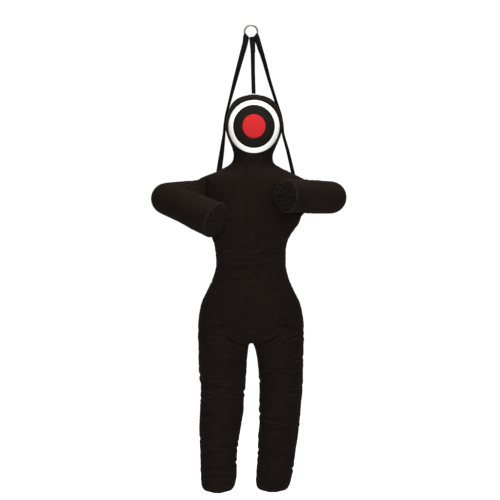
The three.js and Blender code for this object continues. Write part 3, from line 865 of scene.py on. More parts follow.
def capped(name, vertices, fields, faces):
    """A closed skin from an open one: each rim gets a cap that sinks a little into the piece."""
    middle = vertices.mean(0)
    vertices, faces = list(vertices), list(faces)
    fields = {k: list(v) for k, v in fields.items()}
    rim_edges = set()
    for loop in rims(faces):
        ring = np.array([vertices[i] for i in loop])
        centre = ring.mean(0)
        normal = unit(np.cross(ring - centre, np.roll(ring, -1, 0) - centre).sum(0))
        inward = normal if normal @ (middle - centre) > 0 else -normal
        for k in fields:
            fields[k].append(np.mean([fields[k][i] for i in loop], axis=0))
        hub = len(vertices)
        vertices.append(centre + inward * CAP_SINK)
        for k in range(len(loop)):
            a, b = loop[k - 1], loop[k]
            faces.append((b, a, hub))
            rim_edges.add((min(a, b), max(a, b)))
    piece = mesh_object(name, vertices, faces)
    mesh = piece.data
    for k in fields:
        write_attribute(mesh, k, np.array(fields[k]))
    mesh.shade_smooth()
    for edge in mesh.edges:
        if tuple(sorted(edge.vertices)) in rim_edges:
            edge.use_edge_sharp = True
    return piece


def part_name(middle):
    """Which piece a loose part of the skin is, from the middle of its faces."""
    x, y, z = middle
    side = "left" if x > 0 else "right"
    if abs(x) < 40 * MM:
        return "body_skin"
    if z < SOLE[side][2] + 12 * MM:
        return f"sole_end_{side}"
    if z < KNEE[side][2] + KNEE_SEAM:
        return f"shin_skin_{side}"
    if z < NECK[2] - 0.5:
        return f"thigh_skin_{side}"
    if HAND_END[side].beyond(np.array(middle)) > -1 * MM:
        return f"hand_end_{side}"
    return f"forearm_skin_{side}" if y < CROOK[side].point[1] else f"upper_arm_skin_{side}"


SKIN = {}
all_co, all_fields, all_faces, label = cut_faces(body.data)
for part in np.unique(label):
    chosen = [all_faces[i] for i in np.flatnonzero(label == part)]
    used = np.unique(np.concatenate([np.array(f) for f in chosen]))
    back = dict(zip(used.tolist(), range(len(used))))
    name = part_name(all_co[used].mean(0))
    fields = {k: v[used] for k, v in all_fields.items()}
    SKIN[name] = capped(name, all_co[used], fields, [tuple(back[i] for i in f) for f in chosen])
bpy.data.objects.remove(body)

# ---------------------------------------------------------------- materials

class Graph:
    """A material's nodes, with short calls for the ones used here."""

    def __init__(self, name):
        self.material = bpy.data.materials.new(name)
        self.material.use_nodes = True
        self.nodes = self.material.node_tree.nodes
        self.links = self.material.node_tree.links
        self.nodes.clear()
        self.output = self.nodes.new("ShaderNodeOutputMaterial")

    def node(self, kind, inputs=None, **settings):
        node = self.nodes.new(kind)
        for key, value in settings.items():
            setattr(node, key, value)
        for key, value in (inputs or {}).items():
            self.feed(node.inputs[key], value)
        return node

    def feed(self, socket, value):
        if isinstance(value, bpy.types.NodeSocket):
            self.links.new(value, socket)
        else:
            socket.default_value = value

    def maths(self, operation, a, b=0.0):
        return self.node("ShaderNodeMath", {0: a, 1: b}, operation=operation).outputs[0]

    def add(self, a, b):
        return self.maths("ADD", a, b)

    def times(self, a, b):
        return self.maths("MULTIPLY", a, b)

    def lerp(self, share, a, b):
        return self.node("ShaderNodeMix", {0: share, 2: a, 3: b}).outputs[0]

    def span(self, value, low, high, to_low, to_high):
        sockets = {"Value": value, "From Min": low, "From Max": high, "To Min": to_low, "To Max": to_high}
        return self.node("ShaderNodeMapRange", sockets).outputs[0]

    def colour_mix(self, share, a, b, blend="MIX"):
        mix = self.node("ShaderNodeMix", data_type="RGBA", blend_type=blend)
        for socket, value in ((mix.inputs[0], share), (mix.inputs[6], a), (mix.inputs[7], b)):
            self.feed(socket, value)
        return mix.outputs[2]

    def shaded(self, colour, shade):
        grey = self.node("ShaderNodeCombineXYZ", {0: shade, 1: shade, 2: shade}).outputs[0]
        return self.colour_mix(1.0, (*colour, 1), grey, "MULTIPLY")

    def attribute(self, name):
        return self.node("ShaderNodeAttribute", attribute_name=name)

    def noise(self, at, scale, detail=3.0, roughness=0.55):
        sockets = {"Vector": at, "Scale": scale, "Detail": detail, "Roughness": roughness}
        return self.node("ShaderNodeTexNoise", sockets).outputs["Fac"]

    def split(self, vector):
        return self.node("ShaderNodeSeparateXYZ", {0: vector}).outputs

    def random(self, value):
        return self.node("ShaderNodeTexWhiteNoise", {"W": value}, noise_dimensions="1D").outputs["Value"]

    def bump(self, height, distance, strength, normal=None):
        sockets = {"Height": height, "Distance": distance, "Strength": strength}
        if normal:
            sockets["Normal"] = normal
        return self.node("ShaderNodeBump", sockets).outputs[0]

    def finish(self, colour, roughness, normal, **constants):
        sockets = {"Base Color": colour, "Roughness": roughness, "Normal": normal, **constants}
        shader = self.node("ShaderNodeBsdfPrincipled", sockets)
        self.links.new(shader.outputs[0], self.output.inputs[0])
        return self.material


def plain_weave(g, u, v):
    """(height, tint) of a plain weave over thread counts u and v: warp and weft pass over in turn."""
    iu, iv = g.maths("FLOOR", u), g.maths("FLOOR", v)
    fu = g.span(g.maths("FRACT", u), 0, 1, -1, 1)
    fv = g.span(g.maths("FRACT", v), 0, 1, -1, 1)
    a = g.maths("SUBTRACT", 1, g.times(fu, fu))
    b = g.maths("SUBTRACT", 1, g.times(fv, fv))
    over = g.times(g.maths("FRACT", g.times(g.add(iu, iv), 0.5)), 2)
    height = g.add(g.times(g.times(a, b), 0.45), g.times(g.lerp(over, a, b), 0.55))
    tint = g.lerp(over, g.random(iu), g.random(g.add(iv, 531.7)))
    return height, tint


def cloth_coordinates(g, pitch):
    """Thread counts on the skin: the grain runs up the piece, and turns over at its ends."""
    at = g.attribute("cloth_at").outputs["Vector"]
    x, y, z = g.split(at)
    facing_parts = g.split(g.attribute("cloth_facing").outputs["Vector"])
    nx, ny, nz = (g.maths("ABSOLUTE", n) for n in facing_parts)
    ragged = g.times(g.noise(at, 160), 0.10)
    end = g.maths("GREATER_THAN", g.add(nz, ragged), 0.86)
    aside = g.maths("GREATER_THAN", g.add(nx, ragged), g.add(ny, 0.05))
    aside = g.times(aside, g.maths("SUBTRACT", 1, end))
    wander = g.times(g.noise(at, 24), 0.006)
    u = g.add(g.lerp(aside, x, y), wander)
    v = g.add(g.lerp(end, z, y), g.times(wander, 0.7))
    return at, g.maths("DIVIDE", u, pitch), g.maths("DIVIDE", v, pitch)


THREAD_PITCH = 1.3 * MM


def canvas(name, colour, dust):
    """Heavy plain-woven canvas, worn paler on its ridges and darker in its folds, along its seams and between
    its threads, where the darkening is painted shade.
    """
    g = Graph(name)
    at, u, v = cloth_coordinates(g, THREAD_PITCH)
    height, tint = plain_weave(g, u, v)
    ridge = g.attribute("ridge").outputs["Fac"]
    seam = g.attribute("seam").outputs["Fac"]
    mottle = g.span(g.noise(at, 9, 4), 0.3, 0.7, 0.86, 1.14)
    patchy = g.span(g.noise(at, 45, 3), 0.3, 0.7, 0.93, 1.07)
    threads = g.span(tint, 0, 1, 0.82, 1.18)
    # Paler on ridges for worn canvas, and darker in the folds as painted shade.
    rubbed_and_fold_shade = g.span(ridge, -1, 1, 0.72, 1.28)
    # Painted shade: darker towards each seam, along its pressed groove.
    seam_shade = g.span(seam, 0, 7 * MM, 0.62, 1)
    shade = g.times(g.times(g.times(mottle, patchy), g.times(threads, rubbed_and_fold_shade)), seam_shade)
    # Painted shade between the threads: the low parts of the weave are darker.
    deep = g.span(height, 0, 0.9, 0.6, 1.1)
    shade = g.times(shade, deep)
    base = g.shaded(colour, shade)
    worn = g.times(g.span(ridge, 0.2, 1, 0, 1), g.span(g.noise(at, 70, 4), 0.45, 0.75, 0, 1))
    lint = g.span(g.noise(at, 420, 2, 0.7), 0.74, 0.80, 0, 0.5)
    dusty = g.maths("MAXIMUM", g.times(worn, 0.5), lint)
    base = g.colour_mix(dusty, base, (*dust, 1))
    roughness = g.span(g.noise(at, 30, 3), 0.3, 0.7, 0.82, 0.98)
    slub = g.noise(at, 130, 3)
    normal = g.bump(height, 0.35 * MM, 0.55, g.bump(slub, 1.2 * MM, 0.5))
    sheen = {"Sheen Weight": 0.02, "Sheen Roughness": 0.5, "Sheen Tint": (0.9, 0.7, 0.58, 1)}
    return g.finish(base, roughness, normal, **sheen, **{"Specular IOR Level": 0.05})


def webbing(name, colour, across_pitch, along_pitch, roughness=0.72):
    """Flat woven tape, with ribs along it."""
    g = Graph(name)
    at = g.attribute("strap_at").outputs["Vector"]
    x, y, _ = g.split(at)
    height, tint = plain_weave(g, g.maths("DIVIDE", x, across_pitch), g.maths("DIVIDE", y, along_pitch))
    fuzz = g.noise(at, 300, 3)
    shade = g.times(g.span(tint, 0, 1, 0.75, 1.25), g.span(fuzz, 0.3, 0.7, 0.8, 1.25))
    # Painted shade between the threads: the low parts of the weave are darker.
    shade = g.times(shade, g.span(height, 0, 0.9, 0.55, 1.2))
    base = g.shaded(colour, shade)
    rough = g.span(fuzz, 0.3, 0.7, roughness - 0.1, roughness + 0.12)
    normal = g.bump(height, 0.4 * MM, 0.7)
    return g.finish(base, rough, normal, **{"Specular IOR Level": 0.10, "Sheen Weight": 0.01})


def printed(name, colour, cracked):
    """Ink on the face's canvas: it keeps the weave, and is thin and cracked in places."""
    g = Graph(name)
    at, u, v = cloth_coordinates(g, THREAD_PITCH)
    height, tint = plain_weave(g, u, v)
    thin = g.span(g.noise(at, 260, 4, 0.7), 0.66, 0.76, 0, 0.55)
    thin = g.times(thin, g.span(height, 0.2, 0.7, 1, 0.2))
    shade = g.times(g.span(g.noise(at, 20, 3), 0.3, 0.7, 0.96, 1.03), g.span(tint, 0, 1, 0.975, 1.02))
    inked = g.shaded(colour, shade)
    base = g.colour_mix(thin, inked, (*cracked, 1))
    roughness = g.span(g.noise(at, 90, 3), 0.3, 0.7, 0.5, 0.68)
    return g.finish(base, roughness, g.bump(height, 0.25 * MM, 0.4), **{"Specular IOR Level": 0.06})


def metal(name, colour, low, high, scratch=900):
    """Plated metal with fine scratches and a little tarnish."""
    g = Graph(name)
    at = g.node("ShaderNodeTexCoord").outputs["Object"]
    scuffs = g.noise(at, scratch, 4, 0.7)
    dull = g.noise(at, 120, 3)
    shade = g.times(g.span(dull, 0.3, 0.7, 0.82, 1.05), g.span(scuffs, 0.3, 0.7, 0.93, 1.05))
    base = g.shaded(colour, shade)
    roughness = g.span(g.add(g.times(scuffs, 0.5), g.times(dull, 0.5)), 0.35, 0.65, low, high)
    return g.finish(base, roughness, g.bump(scuffs, 0.05 * MM, 0.25), Metallic=1.0)


def sewing_thread(name, colour):
    g = Graph(name)
    at = g.node("ShaderNodeTexCoord").outputs["Object"]
    twist = g.node("ShaderNodeTexWave", {"Vector": at, "Scale": 900.0, "Distortion": 2.0}).outputs["Fac"]
    shade = g.span(twist, 0, 1, 0.7, 1.2)
    base = g.shaded(colour, shade)
    roughness = g.span(twist, 0, 1, 0.55, 0.75)
    return g.finish(base, roughness, g.bump(twist, 0.1 * MM, 0.4), **{"Sheen Weight": 0.1})


CANVAS = canvas("canvas", (0.0088, 0.0060, 0.0047), (0.034, 0.026, 0.021))
CANVAS_DARK = canvas("canvas_dark", (0.0078, 0.0060, 0.0055), (0.033, 0.027, 0.024))
WEBBING = webbing("webbing", (0.0036, 0.0036, 0.0038), 1.55 * MM, 1.2 * MM)
ZIP_TAPE = webbing("zip_tape", (0.006, 0.006, 0.007), 0.7 * MM, 0.6 * MM, 0.8)
PRINT_WHITE = printed("print_white", (0.93, 0.915, 0.90), (0.30, 0.28, 0.26))
PRINT_BLACK = printed("print_black", (0.0075, 0.0068, 0.0050), (0.03, 0.026, 0.022))
PRINT_RED = printed("print_red", (0.50, 0.0175, 0.021), (0.16, 0.012, 0.012))
STEEL = metal("ring_steel", (0.17, 0.155, 0.145), 0.22, 0.40)
BRASS = metal("zip_metal", (0.30, 0.25, 0.16), 0.30, 0.50)
THREAD = sewing_thread("thread", (0.016, 0.012, 0.010))
WEB_THREAD = sewing_thread("webbing_thread", (0.010, 0.010, 0.011))


def finish_piece(piece, material, nodes=()):
    piece.data.materials.clear()
    piece.data.materials.append(material)
    if nodes:
        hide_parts(*nodes)
    return piece


# ---------------------------------------------------------------- skins, with the end panels on their bodies

def turned(piece, run):
    """Lays the canvas's grain along a limb: its fields turn so that their z runs along it."""
    run = unit(run)
    ahead = unit(np.cross(arr(0, 0, 1), run))
    frame_rows = np.array([ahead, np.cross(run, ahead), run])
    for name in ("cloth_at", "cloth_facing"):
        write_attribute(piece.data, name, read_attribute(piece.data, name, 3) @ frame_rows.T)


for side in SIDES:
    upper_run = ELBOW[side] - SHOULDER[side]
    fore_run = PALM[side] - ELBOW[side]
    for name, run in (("upper_arm_skin", upper_run), ("forearm_skin", fore_run), ("hand_end", fore_run)):
        turned(SKIN[f"{name}_{side}"], run)

ARM_ZONE, CROOK_ZONE, GROIN_ZONE, KNEE_ZONE = 50 * MM, 95 * MM, 130 * MM, 175 * MM

skin = finish_piece(SKIN["body_skin"], CANVAS, [
    "torso_cover_front", "torso_cover_back_left", "torso_cover_back_right", "torso_fill",
    "head_cover_front", "head_cover_back", "head_fill",
])
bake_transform(skin)

for side in SIDES:
    for name, inner, cut, zone, fill in (
        ("upper_arm", "torso", ARMHOLE, ARM_ZONE, "arm"),
        ("forearm", f"upper_arm_{side}", CROOK, CROOK_ZONE, "arm"),
        ("thigh", "torso", GROIN, GROIN_ZONE, "leg"),
        ("shin", f"thigh_{side}", KNEE_CUT, KNEE_ZONE, "leg"),
    ):
        nodes = [f"{name}_cover_{side}", f"{name}_fill_{side}"]
        skin = finish_piece(SKIN[f"{name}_skin_{side}"], CANVAS, nodes)
        cut[side].ahead(0)
        cut[side].ahead(zone)
        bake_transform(skin)
    for end, panel, rides in (("hand_end", "hand_panel", "forearm"), ("sole_end", "sole_panel", "shin")):
        skin = finish_piece(SKIN[f"{end}_{side}"], CANVAS_DARK, [f"{panel}_{side}"])
        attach(skin, f"{rides}_{side}")

# ---------------------------------------------------------------- the printed target

def closed_piece(name, vertices, faces):
    """An object with its faces turned outwards."""
    piece = mesh_object(name, vertices, faces)
    bm = bmesh.new()
    bm.from_mesh(piece.data)
    bmesh.ops.recalc_face_normals(bm, faces=bm.faces)
    bm.to_mesh(piece.data)
    bm.free()
    piece.data.shade_smooth()
    return piece


PRINT_PROUD, PRINT_DEEP = 0.9 * MM, 0.8 * MM
PRINT_TURNS = 120


TARGET_NARROW, TARGET_DROP = 0.975, 7 * MM


def face_print(name, inner, outer, material):
    """A ring of ink that lies on the face, from an inner to an outer radius."""
    rows = max(3, int((outer - inner) / (4 * MM)))
    radii = np.linspace(max(inner, 1 * MM), outer, rows + 1)
    front, back, at, facing_rows = [], [], [], []
    for r in radii:
        for a in np.linspace(0, 2 * np.pi, PRINT_TURNS, endpoint=False):
            x = TARGET_CENTRE[0] + r * TARGET_NARROW * math.cos(a)
            z = TARGET_CENTRE[2] - TARGET_DROP + r * math.sin(a)
            place, normal = hit((x, -1, z), (0, 1, 0))
            front.append(place + normal * PRINT_PROUD)
            back.append(place - normal * PRINT_DEEP)
            at.append(place)
            facing_rows.append(normal)
    count, sides = len(front), PRINT_TURNS
    faces = []
    for r in range(rows):
        for i in range(sides):
            j = (i + 1) % sides
            quad = (r * sides + i, r * sides + j, (r + 1) * sides + j, (r + 1) * sides + i)
            faces.append(quad)
            faces.append(tuple(count + k for k in reversed(quad)))
    last = rows * sides
    for i in range(sides):
        j = (i + 1) % sides
        faces.append((last + i, last + j, count + last + j, count + last + i))
        if inner > 0:
            faces.append((j, i, count + i, count + j))
    if inner == 0:
        faces.append(tuple(range(sides)))
        faces.append(tuple(count + i for i in range(sides)))
    piece = closed_piece(name, front + back, faces)
    write_attribute(piece.data, "cloth_at", np.array(at + at))
    write_attribute(piece.data, "cloth_facing", np.array(facing_rows * 2))
    finish_piece(piece, material, [name.replace("ink", "target")])
    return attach(piece, "head")


def half_width(node):
    low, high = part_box(node)
    return (high.x - low.x) / 2


RED_R, BLACK_R, WHITE_R = (half_width(f"target_{n}") for n in ("red_disc", "black_ring", "white_ring"))
face_print("ink_red_disc", 0, RED_R, PRINT_RED)
face_print("ink_black_ring", RED_R, BLACK_R, PRINT_BLACK)
face_print("ink_white_ring", BLACK_R, WHITE_R, PRINT_WHITE)

# ---------------------------------------------------------------- stitches

STITCH = {"pitch": 8 * MM, "length": 5.2 * MM, "radius": 0.55 * MM}
FINE_STITCH = {"pitch": 4.6 * MM, "length": 3.2 * MM, "radius": 0.4 * MM}
# Along a stitch: share of its length, share of its radius, and lift in radii.
STITCH_STEPS = ((0, 0.25, -0.8), (0.12, 0.8, -0.1), (0.5, 1, 0.35), (0.88, 0.8, -0.1), (1, 0.25, -0.8))
STITCH_SIDES = 6


def walk(line, step):
    """Points and normals spaced evenly along a line of (point, normal)."""
    points = np.array([p for p, _ in line])
    directions = np.array([n for _, n in line])
    runs = run_lengths(points)
    at = np.arange(0, runs[-1], step)
    return picked(at, runs, points), picked(at, runs, directions)


def stitches(name, lines, body_name, size, material):
    """Raised stitches along lines of (point, normal)."""
    vertices, faces = [], []
    for line in lines:
        if len(line) < 2:
            continue
        starts, outs = walk(line, size["pitch"])
        for k in range(len(starts) - 1):
            run = unit(starts[k + 1] - starts[k])
            out = unit(outs[k] - run * (outs[k] @ run))
            aside = np.cross(run, out)
            base = len(vertices)
            for share, swell, lift in STITCH_STEPS:
                centre = starts[k] + run * share * size["length"] + out * lift * size["radius"]
                for i in range(STITCH_SIDES):
                    a = 2 * math.pi * i / STITCH_SIDES
                    spoke = aside * math.cos(a) + out * math.sin(a)
                    vertices.append(centre + spoke * swell * size["radius"])
            for r in range(len(STITCH_STEPS) - 1):
                for i in range(STITCH_SIDES):
                    j = (i + 1) % STITCH_SIDES
                    low, high = base + r * STITCH_SIDES, base + (r + 1) * STITCH_SIDES
                    faces.append((low + i, low + j, high + j, high + i))
            top = base + (len(STITCH_STEPS) - 1) * STITCH_SIDES
            faces.append(tuple(base + i for i in reversed(range(STITCH_SIDES))))
            faces.append(tuple(top + i for i in range(STITCH_SIDES)))
    piece = closed_piece(name, vertices, faces)
    finish_piece(piece, material)
    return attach(piece, body_name)


WIDEST_LIMB = 110 * MM


def ring_on_plane(cut, shift, steps=160):
    """A closed line on the skin, in the plane that lies shift beyond a cut."""
    centre = cut.point + cut.normal * shift
    aside = unit(np.cross(cut.normal, arr(0.1, 0.2, 1)))
    other = np.cross(cut.normal, aside)
    line = []
    for a in np.linspace(0, 2 * np.pi, steps + 1):
        h = hit(centre, aside * math.cos(a) + other * math.sin(a))
        if h and np.linalg.norm(h[0] - centre) < WIDEST_LIMB:
            line.append(h)
    return line


TOPSTITCH = 7 * MM
for side in SIDES:
    stitches(f"stitches_armhole_{side}", [ring_on_plane(ARMHOLE[side], -TOPSTITCH)], "torso", STITCH, THREAD)
    hand, sole = HAND_END[side], SOLE_END[side]
    stitches(f"stitches_hand_{side}", [ring_on_plane(hand, -TOPSTITCH)], f"forearm_{side}", STITCH, THREAD)
    stitches(f"stitches_sole_{side}", [ring_on_plane(sole, -TOPSTITCH)], f"shin_{side}", STITCH, THREAD)

# ---------------------------------------------------------------- straps

RING_LOW, RING_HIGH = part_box("hanging_ring")
WIRE = (RING_HIGH.y - RING_LOW.y) / 2
RING_MEAN = (RING_HIGH.x - RING_LOW.x) / 2 - WIRE
RING_CENTRE = np.array((RING_LOW + RING_HIGH) / 2)
STRAP_WIDTH, STRAP_THICK = 25 * MM, 2.4 * MM
WRAP = WIRE + 0.3 * MM + STRAP_THICK / 2
WRAP_TURN = 105  # degrees each way from the wire's inner side
TAIL = 46 * MM  # how much of each strap is folded back and sewn to itself
TAIL_AWAY = 12 * MM  # from the ring to the start of the folded part
BACK = arr(0, 1, 0)

# A flat strap's section: share of its half width and share of its half thickness.
SECTION = [(-1, -0.4), (-0.95, -1), (-0.5, -1), (0, -1), (0.5, -1), (0.95, -1), (1, -0.4)]
SECTION += [(-u, -v) for u, v in SECTION]


def strap_frames(points, flats):
    """The run, the width direction and the thickness direction (towards the back) at each point."""
    runs = np.gradient(points, axis=0)
    runs /= np.linalg.norm(runs, axis=1)[:, None]
    flats = flats - runs * (flats * runs).sum(1)[:, None]
    flats /= np.linalg.norm(flats, axis=1)[:, None]
    return runs, flats, np.cross(runs, flats)


def ribbon(name, points, flats, width, thick):
    """A flat strap with soft edges through points, its width along flats."""
    _, flats, through = strap_frames(points, flats)
    along = run_lengths(points)
    rings, at = [], []
    for p, f, n, s in zip(points, flats, through, along):
        rings.append([p + f * u * width / 2 + n * v * thick / 2 for u, v in SECTION])
        at += [(u * width / 2, s, v * thick / 2) for u, v in SECTION]
    vertices, faces = loft(rings)
    piece = closed_piece(name, vertices, faces)
    write_attribute(piece.data, "strap_at", np.array(at + [(0, 0, 0), (0, along[-1], 0)]))
    return piece


def strap_route(stops, step=5 * MM):
    """Points and widths of a taut strap through stops (x, y, z, turn), in mm and degrees, corners eased."""
    stops = np.array(stops, float)
    places_of, turns = stops[:, :3] * MM, np.radians(stops[:, 3])
    runs = run_lengths(places_of)
    at = np.linspace(0, runs[-1], int(runs[-1] / step))
    points = picked(at, runs, places_of)
    turn = np.interp(at, runs, turns)
    for _ in range(6):
        points[1:-1] = 0.25 * points[:-2] + 0.5 * points[1:-1] + 0.25 * points[2:]
        turn[1:-1] = 0.25 * turn[:-2] + 0.5 * turn[1:-1] + 0.25 * turn[2:]
    return points, np.column_stack([np.cos(turn), np.sin(turn), np.zeros_like(turn)])


def hung_strap(name, loop, stops):
    """A strap that wraps the ring at an angle from its bottom, folds back on itself, and hangs down."""
    a = math.radians(loop)
    wire = RING_CENTRE + RING_MEAN * arr(math.sin(a), 0, -math.cos(a))
    inward = unit(RING_CENTRE - wire)
    tangent = np.cross(BACK, inward)
    points, flats = strap_route(stops)
    run = np.linalg.norm(points - points[0], axis=1)
    _, flats_true, through = strap_frames(points, flats)
    layered = (run > TAIL_AWAY) & (run < TAIL_AWAY + TAIL)
    tail = (points + through * (STRAP_THICK + 0.1 * MM))[layered][::-1]
    turns = np.radians(np.linspace(WRAP_TURN, -WRAP_TURN, 15))
    wrap = [wire + WRAP * (inward * math.cos(t) + BACK * math.sin(t)) for t in turns]
    joined = np.concatenate([tail, wrap, points])
    widths = np.concatenate([flats_true[layered][::-1], np.tile(tangent, (len(wrap), 1)), flats_true])
    free = np.arange(len(joined))[1:-1]
    for _ in range(2):
        widths[free] = 0.25 * widths[free - 1] + 0.5 * widths[free] + 0.25 * widths[free + 1]
    piece = ribbon(name, joined, widths, STRAP_WIDTH, STRAP_THICK)
    return piece, points, flats_true, through


def box_sides(corners):
    """The four sides and the two diagonals of a box, as pairs of corners."""
    around = [(corners[k - 1], corners[k]) for k in range(4)]
    return around + [(corners[0], corners[2]), (corners[1], corners[3])]


def sewn_box(points, flats, through, start, stop, half):
    """The lines of a sewn box with a cross in it, on the front of a strap."""
    run = run_lengths(points)

    def spot(u, s):
        out = -picked(s, run, through)[0]
        centre = picked(s, run, points)[0] + picked(s, run, flats)[0] * u
        return centre + out * STRAP_THICK / 2, out

    corners = [(-half, start), (half, start), (half, stop), (-half, stop)]
    made = []
    for (u0, s0), (u1, s1) in box_sides(corners):
        made.append([spot(u0 + (u1 - u0) * t, s0 + (s1 - s0) * t) for t in np.linspace(0, 1, 9)])
    return made


SHOULDER_END = {s: box_centre(f"shoulder_patch_{s}") for s in SIDES}
BESIDE = MIDDLE_Y / MM + 24
ROUTES = {
    "crown": (9, [(5, -1, -58, 12), (8, 6, -110, 40), (9, 15, -200, 46), (12, 25, -299, 46)]),
    "left": (50, [
        (29, -1, -60, -20), (58, 15, -150, -42), (83, 30, -239, -56), (116, 48, -340, -62),
        (135, BESIDE, -392, -70), (143, BESIDE, -440, -70), (144, BESIDE, -475, -66),
        (168, BESIDE + 1, -560, -58), (195, 51, -676, -50),
    ]),
    "right": (-50, [
        (-22, -1, -60, 8), (-47, 15, -150, 26), (-72, 30, -239, 44), (-99, 48, -340, 64),
        (-113, BESIDE, -392, 70), (-120, BESIDE, -440, 70), (-121, BESIDE, -475, 64),
        (-132, BESIDE + 1, -560, 34), (-146, 51, -656, 8),
    ]),
}
box_lines = []
for key, (loop, stops) in ROUTES.items():
    node = "strap_crown" if key == "crown" else f"strap_shoulder_{key}"
    piece, points, flats, through = hung_strap(f"webbing_{key}", loop, stops)
    finish_piece(piece, WEBBING, [node])
    if key == "crown":
        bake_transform(piece)
    else:
        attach(piece, "torso")
    box_lines += sewn_box(points, flats, through, 16 * MM, 16 * MM + TAIL - 10 * MM, 8.5 * MM)
stitches("stitches_strap_loops", box_lines, "torso", FINE_STITCH, WEB_THREAD)


PATCH_STEPS = 14
PATCH_ABOVE = 0.10  # where the rays that lay a patch on the skin start
PATCH_PROUD, PATCH_EDGE, PATCH_SINK = 1.9 * MM, 1.2 * MM, 0.6 * MM


def draped(name, centre, half_x, half_y, body_name, node):
    """A square of webbing sewn flat on the skin, seen from above, with a box of stitches."""
    steps = PATCH_STEPS
    xs = np.linspace(-half_x, half_x, steps)
    ys = np.linspace(-half_y, half_y, steps)

    def below(x, y):
        return hit((centre[0] + x, centre[1] + y, centre[2] + PATCH_ABOVE), (0, 0, -1))

    top, under, at = [], [], []
    for y in ys:
        for x in xs:
            place, normal = below(x, y)
            edge = max(abs(x) / half_x, abs(y) / half_y)
            proud = PATCH_PROUD if edge < 0.99 else PATCH_EDGE
            top.append(place + normal * proud)
            under.append(place - normal * PATCH_SINK)
            at.append((x, y, 0))
    count = len(top)
    faces = []
    for r in range(steps - 1):
        for c in range(steps - 1):
            quad = (r * steps + c, r * steps + c + 1, (r + 1) * steps + c + 1, (r + 1) * steps + c)
            faces += [quad, tuple(count + k for k in reversed(quad))]
    border = [*range(steps)] + [r * steps + steps - 1 for r in range(1, steps)]
    border += [(steps - 1) * steps + c for c in reversed(range(steps - 1))]
    border += [r * steps for r in reversed(range(1, steps - 1))]
    for k in range(len(border)):
        a, b = border[k - 1], border[k]
        faces.append((a, b, count + b, count + a))
    piece = closed_piece(name, top + under, faces)
    write_attribute(piece.data, "strap_at", np.array(at + at))
    finish_piece(piece, WEBBING, [node])
    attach(piece, body_name)

    def spot(u, v):
        place, normal = below(u * half_x, v * half_y)
        return place + normal * PATCH_PROUD, normal

    inset = 0.82
    corners = [(-inset, -inset), (inset, -inset), (inset, inset), (-inset, inset)]
    lines = []
    for (u0, v0), (u1, v1) in box_sides(corners):
        lines.append([spot(u0 + (u1 - u0) * t, v0 + (v1 - v0) * t) for t in np.linspace(0, 1, 12)])
    stitches(f"stitches_{name}", lines, body_name, FINE_STITCH, WEB_THREAD)


draped("patch_crown", box_centre("crown_patch"), 24 * MM, 24 * MM, "head", "crown_patch")
for side in SIDES:
    draped(f"patch_shoulder_{side}", SHOULDER_END[side], 22 * MM, 24 * MM, "torso", f"shoulder_patch_{side}")

# ---------------------------------------------------------------- ring

RING_TURNS, WIRE_TURNS = 120, 24
WELD_TURN, WELD_REACH, WELD_SWELL = math.radians(200), 0.07, 0.16


def ring_piece():
    rows = []
    around = np.linspace(0, 2 * np.pi, WIRE_TURNS, endpoint=False)
    for t in np.linspace(0, 2 * np.pi, RING_TURNS, endpoint=False):
        out = arr(math.cos(t), 0, math.sin(t))
        away = min(abs(t - WELD_TURN), 2 * math.pi - abs(t - WELD_TURN))
        r = WIRE * (1 + WELD_SWELL * math.exp(-((away / WELD_REACH) ** 2)) * (1 + 0.3 * math.sin(90 * t)))
        centre = RING_CENTRE + out * RING_MEAN
        rows.append([centre + (out * math.cos(w) + BACK * math.sin(w)) * r for w in around])
    vertices = np.concatenate(rows)
    faces = []
    for r in range(RING_TURNS):
        for i in range(WIRE_TURNS):
            j, s = (i + 1) % WIRE_TURNS, (r + 1) % RING_TURNS
            faces.append((r * WIRE_TURNS + i, r * WIRE_TURNS + j, s * WIRE_TURNS + j, s * WIRE_TURNS + i))
    return closed_piece("steel_ring", vertices, faces)


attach(finish_piece(ring_piece(), STEEL, ["hanging_ring"]), "torso")

# ---------------------------------------------------------------- zip

TOOTH_PITCH = 2.6 * MM
TAPE_STEPS = 90
for side in SIDES:
    low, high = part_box(f"zip_tape_{side}")
    x, y = (low.x + high.x) / 2, (low.y + high.y) / 2
    heights = np.linspace(high.z, low.z, TAPE_STEPS)
    points = np.column_stack([np.full(TAPE_STEPS, x), np.full(TAPE_STEPS, y), heights])
    across = np.tile(arr(1, 0, 0), (TAPE_STEPS, 1))
    tape = ribbon(f"tape_{side}", points, across, high.x - low.x, high.y - low.y)
    finish_piece(tape, ZIP_TAPE, [f"zip_tape_{side}"])
    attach(tape, "torso")


def block(centre, half, shrink):
    """An eight-cornered block that narrows towards the back."""
    corners = [(u, v, w) for v in (-1, 1) for u, w in ((-1, -1), (1, -1), (1, 1), (-1, 1))]
    vertices = []
    for u, v, w in corners:
        s = 1 if v < 0 else shrink
        vertices.append(centre + arr(u * half[0] * s, v * half[1], w * half[2] * s))
    faces = [(0, 1, 2, 3), (7, 6, 5, 4)] + [(i, (i + 1) % 4, (i + 1) % 4 + 4, i + 4) for i in range(4)]
    return vertices, faces


def zip_chain():
    lofts = []
    y = (ZIP_LOW.y + ZIP_HIGH.y) / 2
    half_depth = (ZIP_HIGH.y - ZIP_LOW.y) / 2
    heights = np.arange(ZIP_LOW.z + 4 * MM, ZIP_HIGH.z - 4 * MM, TOOTH_PITCH / 2)
    for k, z in enumerate(heights):
        sign = 1 if k % 2 else -1
        lofts.append(block(arr(sign * 0.9 * MM, y, z), (2.0 * MM, half_depth, 0.5 * MM), 0.8))
        lofts.append(block(arr(sign * 2.5 * MM, y, z), (0.7 * MM, half_depth, 0.9 * MM), 0.8))
    for z in (ZIP_LOW.z + 1.6 * MM, ZIP_HIGH.z - 1.6 * MM):
        lofts.append(block(arr(0, y, z), (3.2 * MM, half_depth, 1.5 * MM), 0.85))
    piece = closed_piece("zip_chain", *joined_lofts(lofts))
    piece.data.shade_flat()
    return piece


